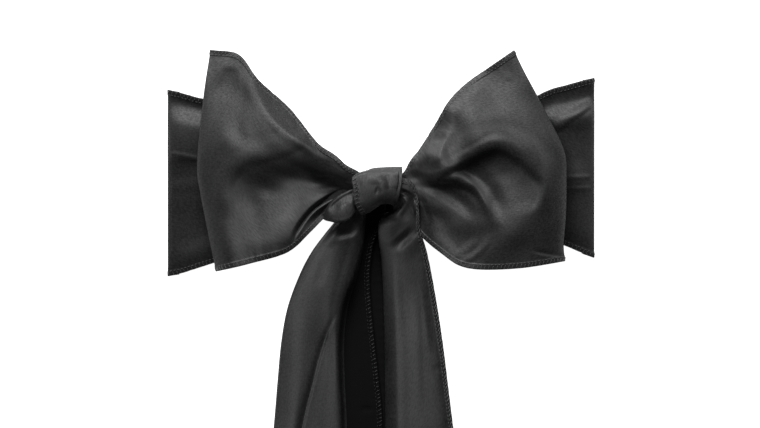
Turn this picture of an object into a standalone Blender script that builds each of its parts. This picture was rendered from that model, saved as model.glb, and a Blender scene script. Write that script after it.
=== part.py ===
"""A satin chair sash tied in a bow and laid flat on its back.

One strip of satin makes everything: a band that doubles back under itself, two loops, a knot, the
lobe of cloth pinched out of the knot, and two tails. Each stretch that shows is an object of its
own, a closed wall of cloth, and the hidden run of the band is one rounded solid.

The frame: X runs along the band, Y from the tails' ends towards the loops' tips, Z up from the
surface that the sash lies on. The origin is on that surface, under the knot. The tables are in
millimetres, and MM turns them into metres.
"""

import math
from collections import namedtuple

import bpy
import numpy as np

MM = 0.001

# Driving sizes, in millimetres.
WALL = 1.2
BAND_HALF_SPAN = 168.0
TAIL_END_Y = -552.0
FAR_RUN_RIM = 1.4
FAR_RUN_INSET = 1.0
FAR_RUN_RISE = 0.45
NEAR_RUN_HEM = 2.45
SIDE_FOLD_TUCK = 8.7
FAR_RUN_HALF_SPAN = BAND_HALF_SPAN - SIDE_FOLD_TUCK - 0.8
LAYER_GAP = 2.8
CORNER_DROOP = 5.5
LEAST_HALF_WIDTH = 11.0

SATIN_COLOUR = (0.012, 0.012, 0.0125, 1.0)
SATIN_ROUGHNESS = 0.42

# A fold is a ridge, or with a height below 0 a trough, pressed into a sheet along a path seen from
# above. left and right are its half-widths on the two sides of the path's own direction, crest is
# 2 for a round crest and nearer 1 for a sharp one, fade is the share of the path over which it
# dies away at its start and its end.
Fold = namedtuple("Fold", "name path height left right crest fade")

# A loop seen from above: its hems run from the knot to the outer fold, and neck and outer_fold run
# from the lower hem to the upper one. crown, hem_height and back are heights along the loop, from
# the knot outwards, of the front layer's middle, of its hems and of the back layer. neck_front and
# neck_back are the layers' heights in the knot, and fold_height runs along the outer fold.
Loop = namedtuple(
    "Loop",
    "neck lower_hem upper_hem outer_fold crown hem_height back neck_front neck_back"
    " fold_height folds",
)

LEFT_LOOP = Loop(
    neck=[(-12, -4), (-12, 3), (-12, 10)],
    lower_hem=[(-12, -4), (-29, -8), (-44, -20), (-56, -32), (-72, -46), (-102, -55), (-128, -61)],
    upper_hem=[
        (-12, 10), (-17, 15.5), (-27, 21), (-36, 29), (-48, 37), (-71, 65), (-96, 88), (-111, 107),
        (-133, 111),
    ],
    outer_fold=[(-128, -61), (-136, -26), (-142, 2), (-144, 17), (-139, 72), (-133, 111)],
    crown=[22, 31, 39, 37, 32],
    hem_height=[21.5, 21, 21, 20, 18],
    back=[16, 12, 11, 10.5, 10],
    neck_front=22.5,
    neck_back=17.0,
    fold_height=[7, 15, 19, 17, 7],
    folds=[
        Fold(
            "crown",
            [(-26, 10), (-36, 24), (-54, 36), (-71, 44), (-88, 61), (-97, 82)],
            9, 30, 12, 2, (0.2, 0.3),
        ),
        Fold(
            "hollow",
            [(-26, 4), (-40, 9), (-53, 12), (-71, 9), (-89, 3), (-105, -7), (-118, -21)],
            -24, 27, 28, 2, (0.15, 0.45),
        ),
        Fold("belly", [(-46, -16), (-70, -26), (-92, -30), (-114, -34)], 7, 22, 22, 2, (0.4, 0.4)),
        Fold(
            "tuck",
            [(-24, -1), (-42, -8), (-53, -13), (-63, -22), (-68, -36), (-72, -44)],
            -8, 7, 7, 2, (0.2, 0.3),
        ),
    ],
)

RIGHT_LOOP = Loop(
    neck=[(8, 2), (8, 7), (8, 12)],
    lower_hem=[
        (8, 2), (21, -17), (31, -34), (37, -40), (47, -48), (60, -57), (73, -60), (107, -59),
        (143, -53),
    ],
    upper_hem=[
        (8, 12), (14.5, 12.6), (18.5, 16.5), (22.5, 24), (30, 33.5), (43, 54), (53, 71), (66, 84),
        (83, 96), (104, 110),
    ],
    outer_fold=[
        (143, -53), (142, -41), (144, -18), (145, 11), (144, 30), (130, 60), (111, 95), (104, 110),
    ],
    crown=[24, 30, 38, 36, 30],
    hem_height=[22, 20, 21, 20.5, 18],
    back=[17.5, 12, 11, 10.5, 10],
    neck_front=25.0,
    neck_back=18.0,
    fold_height=[7, 15, 18, 15, 6.5],
    folds=[
        Fold(
            "arch",
            [
                (24, 3), (34, 7), (53, 18), (71, 31), (85, 38), (95, 40), (107, 36), (116, 28),
                (123, 18), (127, 6), (124, -9), (114, -21), (100, -29),
            ],
            7, 28, 9, 2, (0.15, 0.2),
        ),
        Fold(
            "hollow",
            [(40, 6), (57, 15), (77, 26), (95, 31), (107, 25), (114, 15), (117, 4)],
            -18, 13, 26, 2, (0.2, 0.35),
        ),
        Fold(
            "second_ridge",
            [(50, 12), (66, 13), (76, 5), (83, -6), (88, -18), (88, -28), (83, -40), (71, -50)],
            8, 14, 11, 2, (0.2, 0.25),
        ),
        Fold(
            "second_crease",
            [(40, 8), (50, 10), (64, 8), (73, 1), (80, -9), (84, -22), (84, -31)],
            -11, 6, 15, 2, (0.2, 0.3),
        ),
        Fold("cone", [(22, 8), (32, 4), (47, -2), (66, -13), (78, -22)], 7, 7, 20, 2, (0.4, 0.4)),
        Fold("cone_hollow", [(44, -20), (58, -29), (72, -36)], -6, 14, 14, 2, (0.3, 0.4)),
    ],
)

# A band's near run. Each row is a line along it, with its share of the way from the lower hem to
# the upper one, and its height at each of the places in BAND_PLACES, from the knot outwards.
BandLine = namedtuple("BandLine", "name share heights")

# Distances from the knot's middle along X. The last four turn under at the side fold.
BAND_PLACES = [11, 24, 42, 72, 105, 130, 146, 156, 162.5, 166.2, 168, 166, 159.3]

LEFT_BAND_HEMS = {
    "lower": [-8, -9, -13, -31, -45, -54.5, -59.5, -62.5, -64.2, -65, -65.4, -65, -64],
    "upper": [10, 12, 19, 43, 58, 69.8, 73.6, 76.2, 77.8, 78.6, 79, 78.6, 77.6],
}

RIGHT_BAND_HEMS = {
    "lower": [-8, -11, -20, -31, -34, -36, -41.5, -45.5, -48.2, -49.8, -50.4, -49.8, -47.5],
    "upper": [10, 14, 29, 49, 66, 78.8, 83.4, 86, 87.6, 88.4, 88.8, 88.4, 87.4],
}

LEFT_BAND = [
    BandLine("lower_hem", 0.00, [5.0, 4.5, 3.5, 2.9, 2.5, 2.5, 2.6, 2.8, 3.2, 3.1, 1.9, 0.6, 0.6]),
    BandLine("lower_strip", 0.08, [6.0, 5.5, 4.8, 4.2, 4.0, 4.8, 5.6, 5.6, 5.0, 4.2, 2.6, 0.8, 0.6]),
    BandLine("lower_valley", 0.20, [7.2, 6.8, 5.6, 4.8, 4.6, 4.6, 4.8, 5.0, 5.2, 4.4, 2.8, 0.8, 0.6]),
    BandLine("flat", 0.42, [7.4, 7.0, 6.2, 6.0, 5.8, 5.8, 6.2, 6.4, 6.2, 5.2, 3.2, 0.8, 0.6]),
    BandLine("crest_foot", 0.59, [9.1, 8.2, 6.6, 6.0, 6.0, 6.6, 7.2, 7.6, 7.4, 6.2, 3.8, 0.8, 0.6]),
    BandLine("crest", 0.66, [8.4, 8.6, 8.6, 8.5, 8.4, 8.3, 9.6, 10.6, 9.8, 8, 4.8, 0.8, 0.6]),
    BandLine("back_slope", 0.82, [7.2, 7.6, 7.4, 7.6, 7.8, 8.4, 9.8, 9.8, 8.6, 6.8, 4.2, 0.8, 0.6]),
    BandLine("upper_roll", 0.94, [6.2, 6.0, 5.4, 5.0, 5.0, 5.4, 5.8, 6.0, 5.6, 4.6, 2.8, 0.8, 0.6]),
    BandLine("upper_hem", 1.00, [5.0, 4.5, 3.5, 2.9, 2.5, 2.5, 2.6, 2.8, 3.2, 3.1, 1.9, 0.6, 0.6]),
]

RIGHT_BAND = [
    BandLine("lower_hem", 0.00, [5.0, 4.5, 3.5, 2.9, 2.5, 2.5, 2.6, 2.8, 3.2, 3.1, 1.9, 0.6, 0.6]),
    BandLine("lower_roll", 0.10, [6.4, 6.0, 5.0, 4.4, 4.2, 4.4, 4.8, 5.0, 5.0, 4.2, 2.6, 0.8, 0.6]),
    BandLine("flat", 0.30, [7.6, 7.2, 6.4, 6.0, 5.6, 5.4, 5.4, 5.8, 5.8, 4.8, 3.0, 0.8, 0.6]),
    BandLine("faint_ridge", 0.42, [8.9, 8.4, 8.2, 7.8, 7.2, 7.2, 7.4, 7.6, 6.8, 5.6, 3.4, 0.8, 0.6]),
    BandLine("dark_slope", 0.55, [8.9, 7.6, 7.0, 6.4, 6.2, 6.2, 6.4, 6.8, 6.6, 5.6, 3.4, 0.8, 0.6]),
    BandLine("crest_foot", 0.70, [8.9, 7.2, 6.6, 6.4, 6.6, 7.0, 7.6, 8.0, 7.6, 6.2, 3.8, 0.8, 0.6]),
    BandLine("crest", 0.79, [6.8, 7.4, 8.0, 8.4, 8.5, 8.5, 9.6, 10.6, 9.8, 8, 4.6, 0.8, 0.6]),
    BandLine("upper_roll", 0.92, [6.0, 6.0, 5.6, 5.4, 5.4, 6.0, 6.8, 6.8, 6.2, 5.0, 3.0, 0.8, 0.6]),
    BandLine("upper_hem", 1.00, [5.0, 4.5, 3.5, 2.9, 2.5, 2.5, 2.6, 2.8, 3.2, 3.1, 1.9, 0.6, 0.6]),
]

# A tail is a sheet through lines that run down it, each row one line with its points (x, y, z) at
# the same stations, from the knot to the end. The rows go across the cloth from one side hem to
# the other.
TailLine = namedtuple("TailLine", "name points")

LEFT_TAIL = [
    TailLine("under_hem", [
        (8, -5, 7.4), (9, -16, 7.4), (6, -30, 4.6), (2.2, -46, 1.6), (1.6, -66, 0.6), (3.2, -91, 0.6),
        (4.2, -118, 0.6), (4.6, -150, 0.6), (5, -184, 0.6), (5.4, -260, 0.6), (5.4, -360, 0.6),
        (4.6, -460, 0.6), (3.6, TAIL_END_Y, 0.6),
    ]),
    TailLine("under_bend", [
        (-26, -12, 9.4), (-31, -21.5, 8.4), (-39, -32, 5), (-50, -47, 2), (-60, -66, 0.8),
        (-69, -91, 0.6), (-74, -118, 0.6), (-77, -150, 0.6), (-80, -184, 0.6), (-87, -260, 0.6),
        (-98, -360, 0.6), (-111, -460, 0.6), (-124, TAIL_END_Y, 0.6),
    ]),
    TailLine("left_fold", [
        (-29, -13, 11), (-35.5, -22.5, 11), (-44, -33, 9), (-55, -48, 6.5), (-64.3, -66, 6),
        (-73.5, -91, 5.5), (-78.5, -118, 5.5), (-81.5, -150, 5.5), (-84.3, -184, 5.5), (-91, -260, 5),
        (-102, -360, 4.2), (-114.5, -460, 3), (-127, TAIL_END_Y, 2.1),
    ]),
    TailLine("roll_left", [
        (-27, -12.5, 11.9), (-33.5, -22, 15.5), (-41, -32.5, 15), (-51, -47, 14.5), (-60, -66, 14),
        (-69, -91, 13.5), (-73.5, -118, 13), (-76, -150, 12.5), (-78, -184, 12), (-85, -260, 10),
        (-96, -360, 8), (-109, -460, 5.4), (-122, TAIL_END_Y, 3.6),
    ]),
    TailLine("roll_right", [
        (-25, -12, 12.2), (-30, -21.5, 17), (-36, -32, 18), (-44, -46.5, 18.5), (-52, -66, 18),
        (-60, -91, 17), (-63, -118, 16.5), (-65, -150, 15.5), (-69, -184, 14.5), (-78, -260, 12),
        (-89, -360, 9), (-102, -460, 6), (-113, TAIL_END_Y, 3.9),
    ]),
    TailLine("valley", [
        (-22, -12, 12.2), (-26, -21, 17.5), (-30, -31.5, 18.5), (-36, -46, 19.5), (-42, -66, 19),
        (-48, -91, 17), (-46, -118, 11.5), (-52, -150, 8.5), (-61, -184, 7.5), (-70, -260, 6.5),
        (-81, -360, 5), (-93, -460, 4.2), (-104, TAIL_END_Y, 3.3),
    ]),
    TailLine("strip", [
        (-18.5, -12, 12.2), (-21.5, -20.5, 18), (-24, -31, 19.5), (-27, -45.5, 20.5), (-33, -66, 19.5),
        (-39, -91, 16.5), (-40, -118, 12.5), (-42, -150, 11.5), (-46, -184, 10.5), (-50, -260, 8),
        (-56, -360, 6), (-63, -460, 4.2), (-70, TAIL_END_Y, 3.4),
    ]),
    TailLine("ridge", [
        (-15, -12, 11.9), (-15.5, -20.5, 18), (-16.5, -31, 20), (-18.3, -45, 20), (-23.5, -66, 18.5),
        (-31, -90, 15.5), (-34, -118, 13.5), (-33.6, -150, 12.5), (-32.5, -184, 12), (-33, -260, 9),
        (-35, -360, 6.5), (-38, -460, 4.4), (-42, TAIL_END_Y, 3),
    ]),
    TailLine("foot", [
        (-11, -11, 11.2), (-12.5, -20.5, 10.8), (-13, -31, 8), (-14.5, -45, 5.4), (-19, -66, 4.2),
        (-26.5, -90, 3.8), (-29.5, -118, 3.6), (-29, -150, 3.5), (-27.5, -184, 3.4), (-27, -260, 3.1),
        (-28, -360, 2.9), (-30, -460, 2.7), (-33, TAIL_END_Y, 2.5),
    ]),
    TailLine("gap_floor", [
        (-7, -8.5, 10.2), (-6, -19, 9.8), (-7.5, -30, 7.4), (-10.5, -44, 4.4), (-14.5, -66, 3.1),
        (-18, -90, 2.8), (-17, -118, 2.7), (-15, -150, 2.6), (-12, -184, 2.5), (-12, -260, 2.4),
        (-12, -360, 2.3), (-12, -460, 2.2), (-12, TAIL_END_Y, 2.2),
    ]),
    TailLine("gap_hem", [
        (4, -6.5, 10), (3, -18, 9.6), (-1, -29, 7.6), (-6.5, -43, 5), (-9, -66, 3.4), (-7.8, -90, 2.8),
        (-5, -118, 2.6), (-1.5, -150, 2.5), (1.2, -184, 2.4), (1.4, -260, 2.3), (1.6, -360, 2.2),
        (1.8, -460, 2.1), (2, TAIL_END_Y, 2.1),
    ]),
]

RIGHT_TAIL = [
    TailLine("under_hem", [
        (13.9, -7.9, 20.9), (12.3, -11.3, 17.8), (10.1, -17.9, 13.9), (10, -25, 10), (15, -38, 5),
        (25, -56, 1.6), (34, -86, 0.6), (39, -120, 0.6), (43, -160, 0.6), (47, -200, 0.6),
        (56, -290, 0.6), (64, -380, 0.6), (72, -470, 0.6), (80, TAIL_END_Y, 0.6),
    ]),
    TailLine("under_bend", [
        (12, -11.6, 21.3), (6.7, -15.1, 19.2), (2.5, -17.6, 14.7), (1.5, -25.5, 10.5), (2, -37, 6),
        (4, -55, 2), (5.5, -85, 0.6), (6.5, -120, 0.6), (7, -160, 0.6), (7.5, -200, 0.6),
        (9, -290, 0.6), (10, -380, 0.6), (11, -470, 0.6), (12, TAIL_END_Y, 0.6),
    ]),
    TailLine("left_fold", [
        (11.6, -11.9, 24.8), (10.8, -15, 20.1), (1, -19.5, 17), (-1.8, -26, 14), (-1.8, -37, 12),
        (0.6, -55, 9), (2, -85, 7), (3, -120, 6.5), (3.3, -160, 6.2), (3.8, -200, 6), (4.5, -290, 5),
        (5.2, -380, 4), (6, -470, 3), (7, TAIL_END_Y, 2.2),
    ]),
    TailLine("flank_top", [
        (14.1, -9.4, 30), (14, -13.2, 26.2), (7.5, -18.5, 22.8), (5, -26.5, 22), (6, -38, 20),
        (8.5, -55, 18), (10, -85, 16), (11.2, -120, 15), (11.8, -160, 14.5), (12.2, -200, 13.5),
        (14, -290, 10), (15, -380, 7.4), (16, -470, 5), (17, TAIL_END_Y, 3.9),
    ]),
    TailLine("crest", [
        (14, -2, 32), (17, -8, 30.2), (13.5, -18, 28), (13, -28, 27), (14.5, -40, 24.5), (17, -56, 21),
        (19, -85, 18.5), (22, -120, 17), (23, -160, 16), (24, -200, 14.5), (28, -290, 10.5),
        (32, -380, 7.6), (36, -470, 5), (40, TAIL_END_Y, 3.8),
    ]),
    TailLine("middle", [
        (14, 4, 32.6), (20, -3.5, 32.4), (20, -15, 31.5), (20, -27, 29.5), (22, -38, 26), (26, -54, 21),
        (30, -85, 17), (33, -120, 15), (35, -160, 13.5), (38, -200, 12), (46, -290, 8.8),
        (54, -380, 6.2), (62, -470, 4.4), (70, TAIL_END_Y, 3.5),
    ]),
    TailLine("right_slope", [
        (14, 8, 32.8), (22, 3, 33.4), (25, -9, 33.0), (26, -22, 31), (28, -34, 26.5), (33, -52, 19),
        (38.5, -85, 13), (43, -120, 10), (47, -160, 8.2), (51, -200, 7), (63, -290, 5), (74, -380, 4.2),
        (85, -470, 3.4), (95, TAIL_END_Y, 2.6),
    ]),
    TailLine("right_hem", [
        (13.5, 12, 32.2), (22.5, 9, 33.0), (28.3, -1, 31.9), (29.6, -16, 30.9), (31, -30, 26),
        (36.6, -50, 16), (43.2, -84, 9), (48.7, -120, 6), (53.6, -160, 4), (59, -200, 2.8),
        (74, -290, 2.2), (87, -380, 1.8), (99, -470, 1.2), (110, TAIL_END_Y, 0.7),
    ]),
]

# The knot's wrap, seen from above: the lower and upper edges run from its left rim to its right
# one, and each rim runs from the lower edge to the upper one, once over the front and once behind.
KNOT_LOWER = [(-15.5, -17.8), (-10, -16.3), (-4, -12.5), (0.5, -9.6), (5, -9.2), (10, -10)]
KNOT_UPPER = [(-13.3, 15), (-7.8, 18.1), (3.1, 19.3), (16.5, 19.7)]
KNOT_LEFT_FRONT = [(-15.5, -17.8), (-20.4, -9.1), (-21.5, 1.6), (-22.2, 11.5), (-13.3, 15)]
KNOT_RIGHT_FRONT = [(10, -10), (13.2, -5.5), (14.8, 0), (16.6, 12), (16.5, 19.7)]
KNOT_LEFT_BACK = [(-15.5, -17.8), (-13, -6), (-12, 5), (-13.3, 15)]
KNOT_RIGHT_BACK = [(10, -10), (8.5, 0), (10.5, 12), (16.5, 19.7)]
KNOT_MIDDLE = 23.5
KNOT_HALF_DEPTH = 12.9
KNOT_FOLDS = [
    Fold(
        "ridge",
        [(-15, 4), (-10, 10), (-2, 10), (3, 4), (1, -5), (-4, -12)],
        2.2, 5, 5, 2, (0.3, 0.2),
    ),
    Fold("dimple", [(-6, 5), (-2, 2), (-3, -4)], -2.4, 4, 4, 2, (0.4, 0.4)),
]

# The lobe: a flattened roll of cloth. Each row is a ring across it, from inside the knot to its tip.
LobeRing = namedtuple("LobeRing", "x y z half_width half_depth")
LOBE = [
    LobeRing(-18.5, -5, 28.8, 6.0, 2.4),
    LobeRing(-22.6, -8, 30.2, 10.0, 4.0),
    LobeRing(-28, -11, 30.4, 10.9, 5.0),
    LobeRing(-34, -13.4, 29.8, 10.0, 5.0),
    LobeRing(-39.5, -15.6, 28.6, 7.4, 4.2),
    LobeRing(-43, -17.8, 27.2, 4.4, 3.0),
    LobeRing(-44.6, -19.3, 26.2, 1.8, 1.6),
]
LOBE_FOLD = Fold("groove", [(-23, -1), (-30, -4), (-35, -8), (-41, -14)], -2.6, 3, 4, 2, (0.2, 0.3))


def cubic(points, knots, t):
    """Points on a smooth curve through the given ones, at each t. The curve is a cubic between
    neighbours, and its slope at each point comes from the points on its two sides."""
    slope = np.gradient(points, knots, axis=0)
    i = np.clip(np.searchsorted(knots, t, side="right") - 1, 0, len(knots) - 2)
    span = (knots[i + 1] - knots[i])[:, None]
    u = (t - knots[i])[:, None] / span
    return (
        (2 * u**3 - 3 * u**2 + 1) * points[i]
        + (u**3 - 2 * u**2 + u) * span * slope[i]
        + (3 * u**2 - 2 * u**3) * points[i + 1]
        + (u**3 - u**2) * span * slope[i + 1]
    )


def smooth(points, t):
    """The curve through a row of points or values that are evenly spaced in t, from 0 to 1."""
    points = np.asarray(points, float).reshape(len(points), -1)
    return cubic(points, np.linspace(0, 1, len(points)), t)


def spaced(steps):
    """Knots from 0 to 1 whose spacing goes with the square root of the given distances."""
    return np.concatenate([[0.0], np.cumsum(np.sqrt(steps))]) / np.sqrt(steps).sum()


def even(points, t):
    """The curve through points, read at even steps of its length."""
    points = np.asarray(points, float)
    knots = spaced(np.linalg.norm(np.diff(points, axis=0), axis=1))
    fine = cubic(points, knots, np.linspace(0, 1, 240))
    run = np.concatenate([[0.0], np.cumsum(np.linalg.norm(np.diff(fine, axis=0), axis=1))])
    return np.stack([np.interp(t * run[-1], run, column) for column in fine.T], axis=-1)


def ease(x):
    """0 below 0, 1 above 1, and a smooth step between."""
    x = np.clip(x, 0, 1)
    return x * x * (3 - 2 * x)


def press(sheet, fold, least=0.0):
    """Adds one fold to a sheet: the height falls from the path to the half-width as
    (1 - q ** crest) ** 2, where q is the distance over that half-width, which is at least least."""
    path = even(fold.path, np.linspace(0, 1, 48))
    start, run = path[:-1], np.diff(path, axis=0)
    flat = sheet[..., :2].reshape(-1, 1, 2)
    along = np.clip(((flat - start) * run).sum(-1) / (run**2).sum(-1), 0, 1)
    offset = flat - (start + along[..., None] * run)
    distance = np.linalg.norm(offset, axis=-1)
    nearest = distance.argmin(axis=1)
    row = np.arange(len(nearest))
    off = offset[row, nearest]
    way = run[nearest] / np.linalg.norm(run[nearest], axis=1)[:, None]
    side = way[:, 0] * off[:, 1] - way[:, 1] * off[:, 0]
    half_width = np.maximum(np.where(side > 0, fold.left, fold.right), least)
    q = np.clip(distance[row, nearest] / half_width, 0, 1)
    share = (nearest + along[row, nearest]) / len(run)
    rise, fall = fold.fade
    strength = (1 - q**fold.crest) ** 2 * ease(share / rise) * ease((1 - share) / fall)
    moved = sheet.copy()
    moved[..., 2] += fold.height * strength.reshape(sheet.shape[:-1])
    return moved


def coons(lower, upper, start, end, s, t):
    """The patch between four edges: s runs from start to end, and t from lower to upper."""
    low, high = even(lower, s)[:, None], even(upper, s)[:, None]
    first, last = even(start, t)[None], even(end, t)[None]
    s, t = s[:, None, None], t[None, :, None]
    lower, upper = np.asarray(lower, float), np.asarray(upper, float)
    corners = (1 - s) * (1 - t) * lower[0] + (1 - s) * t * upper[0]
    corners = corners + s * (1 - t) * lower[-1] + s * t * upper[-1]
    return (1 - t) * low + t * high + (1 - s) * first + s * last - corners


def loop_sheet(loop, front_rows, back_rows, columns):
    """The middle of a loop's cloth: out along the front layer, round the outer fold and back along
    the back layer, at least LAYER_GAP below it. Seen from above both layers fill the same patch,
    with s = 0 in the knot and s = 1 on the outer fold. Towards the fold the front layer comes down
    to twice the fold's own height over the back layer, and half of the height between them shrinks
    as (1 - s ** p) ** 0.5, with p such that the fold is round."""
    outward = 1 - np.linspace(1, 0, front_rows) ** 1.8
    inward = (1 + np.cos(np.linspace(0, math.pi, back_rows)[1:])) / 2
    s, t = np.concatenate([outward, inward]), np.linspace(0, 1, columns)
    side = np.where(np.arange(len(s)) < front_rows, 1, -1)[:, None]
    plan = coons(loop.lower_hem, loop.upper_hem, loop.neck, loop.outer_fold, s, t)
    hem = smooth(loop.hem_height, s)
    arch = 1 - (2 * t - 1)[None, :] ** 2
    sheet = np.dstack([plan, hem + (smooth(loop.crown, s) - hem) * arch])
    for fold in loop.folds:
        sheet = press(sheet, fold, LEAST_HALF_WIDTH)

    s = s[:, None]
    out = ease(s / 0.16)
    droop = CORNER_DROOP * s**2 * ease((np.abs(2 * t - 1) - 0.7) / 0.3)
    back = smooth(loop.back, s[:, 0]) * out + loop.neck_back * (1 - out) - droop
    height = sheet[..., 2] * out + loop.neck_front * (1 - out)
    rim = 2 * smooth(loop.fold_height, t).T - back[front_rows - 1]
    rounding = ease((s - 0.7) / 0.3)
    height = height * (1 - rounding) + rim * rounding
    half = np.maximum(height - back, LAYER_GAP) / 2
    reach = np.linalg.norm(plan[front_rows - 1] - plan[0], axis=-1)
    power = 2 * reach / half[front_rows - 1]
    sheet[..., 2] = back + half + side * half * np.sqrt(1 - s**power)
    return sheet


def line_sheet(lines, rows, columns):
    """A sheet through lines of points, with its rows along the lines and its columns from the
    first line to the last, closer together where the lines are."""
    lines = np.stack([smooth(line, np.linspace(0, 1, rows)) for line in lines])
    knots = spaced(np.linalg.norm(np.diff(lines, axis=0), axis=-1).mean(axis=1))
    sheet = cubic(lines.reshape(len(lines), -1), knots, np.linspace(0, 1, columns))
    return np.moveaxis(sheet.reshape(columns, rows, 3), 0, 1)


def band_lines(band, hems, side):
    """A near run's lines as points, on the side where X has that sign."""
    low, high = np.array(hems["lower"], float), np.array(hems["upper"], float)
    x = side * np.array(BAND_PLACES, float)
    return [np.stack([x, low + line.share * (high - low), line.heights], axis=1) for line in band]


def far_run():
    """The hidden run's top: it lies inside the near run's outline, and rises under it by
    FAR_RUN_RISE of the near run's height over its hem."""
    halves = []
    for band, hems, side in ((LEFT_BAND, LEFT_BAND_HEMS, -1), (RIGHT_BAND, RIGHT_BAND_HEMS, 1)):
        lines = [line[:9] for line in band_lines(band, hems, side)]
        half = line_sheet(lines, 10, 9)
        half[-1, :, 0] = side * FAR_RUN_HALF_SPAN
        half[:, 0, 1] += FAR_RUN_INSET
        half[:, -1, 1] -= FAR_RUN_INSET
        half[..., 2] = FAR_RUN_RIM + FAR_RUN_RISE * np.clip(half[..., 2] - NEAR_RUN_HEM, 0, None)
        half[:, (0, -1), 2] = FAR_RUN_RIM
        half[-1, :, 2] = FAR_RUN_RIM
        halves.append(half)
    return np.concatenate([halves[0][::-1], halves[1]])


def knot_sheet(along, around):
    """The wrap: an oval ring about the X axis. Its height goes with the sine of the angle round
    the ring, and its place between the lower and upper edges with the cosine."""
    angle = np.linspace(0, 2 * math.pi, around, endpoint=False)
    t, u = (1 - np.cos(angle)) / 2, np.linspace(0, 1, along)
    front = coons(KNOT_LOWER, KNOT_UPPER, KNOT_LEFT_FRONT, KNOT_RIGHT_FRONT, u, t)
    back = coons(KNOT_LOWER, KNOT_UPPER, KNOT_LEFT_BACK, KNOT_RIGHT_BACK, u, t)
    over = (np.sin(angle) >= 0)[None, :, None]
    sheet = np.zeros((along, around, 3))
    sheet[..., :2] = np.where(over, front, back)
    sheet[..., 2] = KNOT_MIDDLE + KNOT_HALF_DEPTH * np.sin(angle)
    pressed = sheet
    for fold in KNOT_FOLDS:
        pressed = press(pressed, fold)
    return np.where(over, pressed, sheet)


def lobe_sheet(along, around):
    """The lobe: flattened rings across X whose sizes run smoothly from row to row of LOBE."""
    rings = smooth(LOBE, np.linspace(0, 1, along))
    angle = np.linspace(0, 2 * math.pi, around, endpoint=False)
    x, y, z, half_width, half_depth = (column[:, None] for column in rings.T)
    places = (x + 0 * angle, y - half_width * np.cos(angle), z + half_depth * np.sin(angle))
    sheet = np.stack(places, axis=-1)
    over = (np.sin(angle) > 0)[None, :, None]
    return np.where(over, press(sheet, LOBE_FOLD), sheet)


def grid_faces(rows, columns, ring):
    """Faces of the two sides of a wall whose points are the top grid and then the under grid."""
    index = np.arange(rows * columns).reshape(rows, columns)
    if ring:
        index = np.concatenate([index, index[:, :1]], axis=1)
    under = rows * columns
    corners = [index[:-1, :-1], index[1:, :-1], index[1:, 1:], index[:-1, 1:]]
    top = np.stack(corners, axis=-1).reshape(-1, 4)
    rims = [index[0], index[-1, ::-1]]
    if not ring:
        rims += [index[::-1, 0], index[:, -1]]
    sides = [np.stack([rim[:-1], rim[1:], rim[1:] + under, rim[:-1] + under], axis=-1) for rim in rims]
    return np.concatenate([top, top[:, ::-1] + under] + sides)


def add_solid(name, top, under, ring=False):
    """An object whose faces close the space between two grids of points, in millimetres. What
    would reach below the surface is flattened on it."""
    points = np.concatenate([top.reshape(-1, 3), under.reshape(-1, 3)]) * MM
    points[:, 2] = np.maximum(points[:, 2], 0)
    mesh = bpy.data.meshes.new(name)
    mesh.from_pydata(points.tolist(), [], grid_faces(*top.shape[:2], ring).tolist())
    mesh.shade_smooth()
    mesh.set_sharp_from_angle(angle=math.radians(50))
    mesh.materials.append(satin(name))
    bpy.context.scene.collection.objects.link(bpy.data.objects.new(name, mesh))


def add_wall(name, sheet, ring=False):
    """A wall of cloth: the sheet's points moved half of WALL to each side along its normals."""
    sheet = np.maximum(sheet, (-np.inf, -np.inf, WALL / 2))
    if ring:
        wrapped = np.concatenate([sheet[:, -1:], sheet, sheet[:, :1]], axis=1)
        down = np.gradient(wrapped, axis=0)[:, 1:-1]
        across = np.gradient(wrapped, axis=1)[:, 1:-1]
    else:
        down, across = np.gradient(sheet, axis=0), np.gradient(sheet, axis=1)
    normal = np.cross(down, across)
    normal /= np.linalg.norm(normal, axis=-1, keepdims=True)
    add_solid(name, sheet + normal * WALL / 2, sheet - normal * WALL / 2, ring)


def satin(name):
    """A charcoal satin of the node's own."""
    material = bpy.data.materials.new(name + "_satin")
    material.use_nodes = True
    shader = material.node_tree.nodes["Principled BSDF"]
    shader.inputs["Base Color"].default_value = SATIN_COLOUR
    shader.inputs["Roughness"].default_value = SATIN_ROUGHNESS
    shader.inputs["Metallic"].default_value = 0.0
    return material


def main():
    for thing in list(bpy.data.objects):
        bpy.data.objects.remove(thing)

    top = far_run()
    add_solid("band_under", top, top * (1, 1, 0))
    add_wall("band_left", line_sheet(band_lines(LEFT_BAND, LEFT_BAND_HEMS, -1), 25, 13))
    add_wall("band_right", line_sheet(band_lines(RIGHT_BAND, RIGHT_BAND_HEMS, 1), 25, 13))
    add_wall("loop_left", loop_sheet(LEFT_LOOP, 24, 10, 25))
    add_wall("loop_right", loop_sheet(RIGHT_LOOP, 26, 10, 27))
    add_wall("knot", knot_sheet(10, 28), ring=True)
    add_wall("knot_lobe", lobe_sheet(11, 16), ring=True)
    add_wall("tail_left", line_sheet([line.points for line in LEFT_TAIL], 27, 21))
    add_wall("tail_right", line_sheet([line.points for line in RIGHT_TAIL], 29, 15))


main()
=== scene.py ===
"""The looks of a satin chair sash that is tied in a bow and laid flat on its back.

One strip of charcoal satin, 170 mm wide, makes the band, the bow's two loops, the knot with its
pinched lobe, and the two tails. Each piece here is a thin shell of cloth on its CAD solid's form,
with the creases that the solid is too coarse for, an overlocked hem and its threads.

Lengths in the tables are millimetres and MM turns them into metres. X runs along the band, Y from
the tails' ends towards the loops' tips, and Z up from the surface that the sash lies on.
"""

import math
from collections import namedtuple

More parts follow.
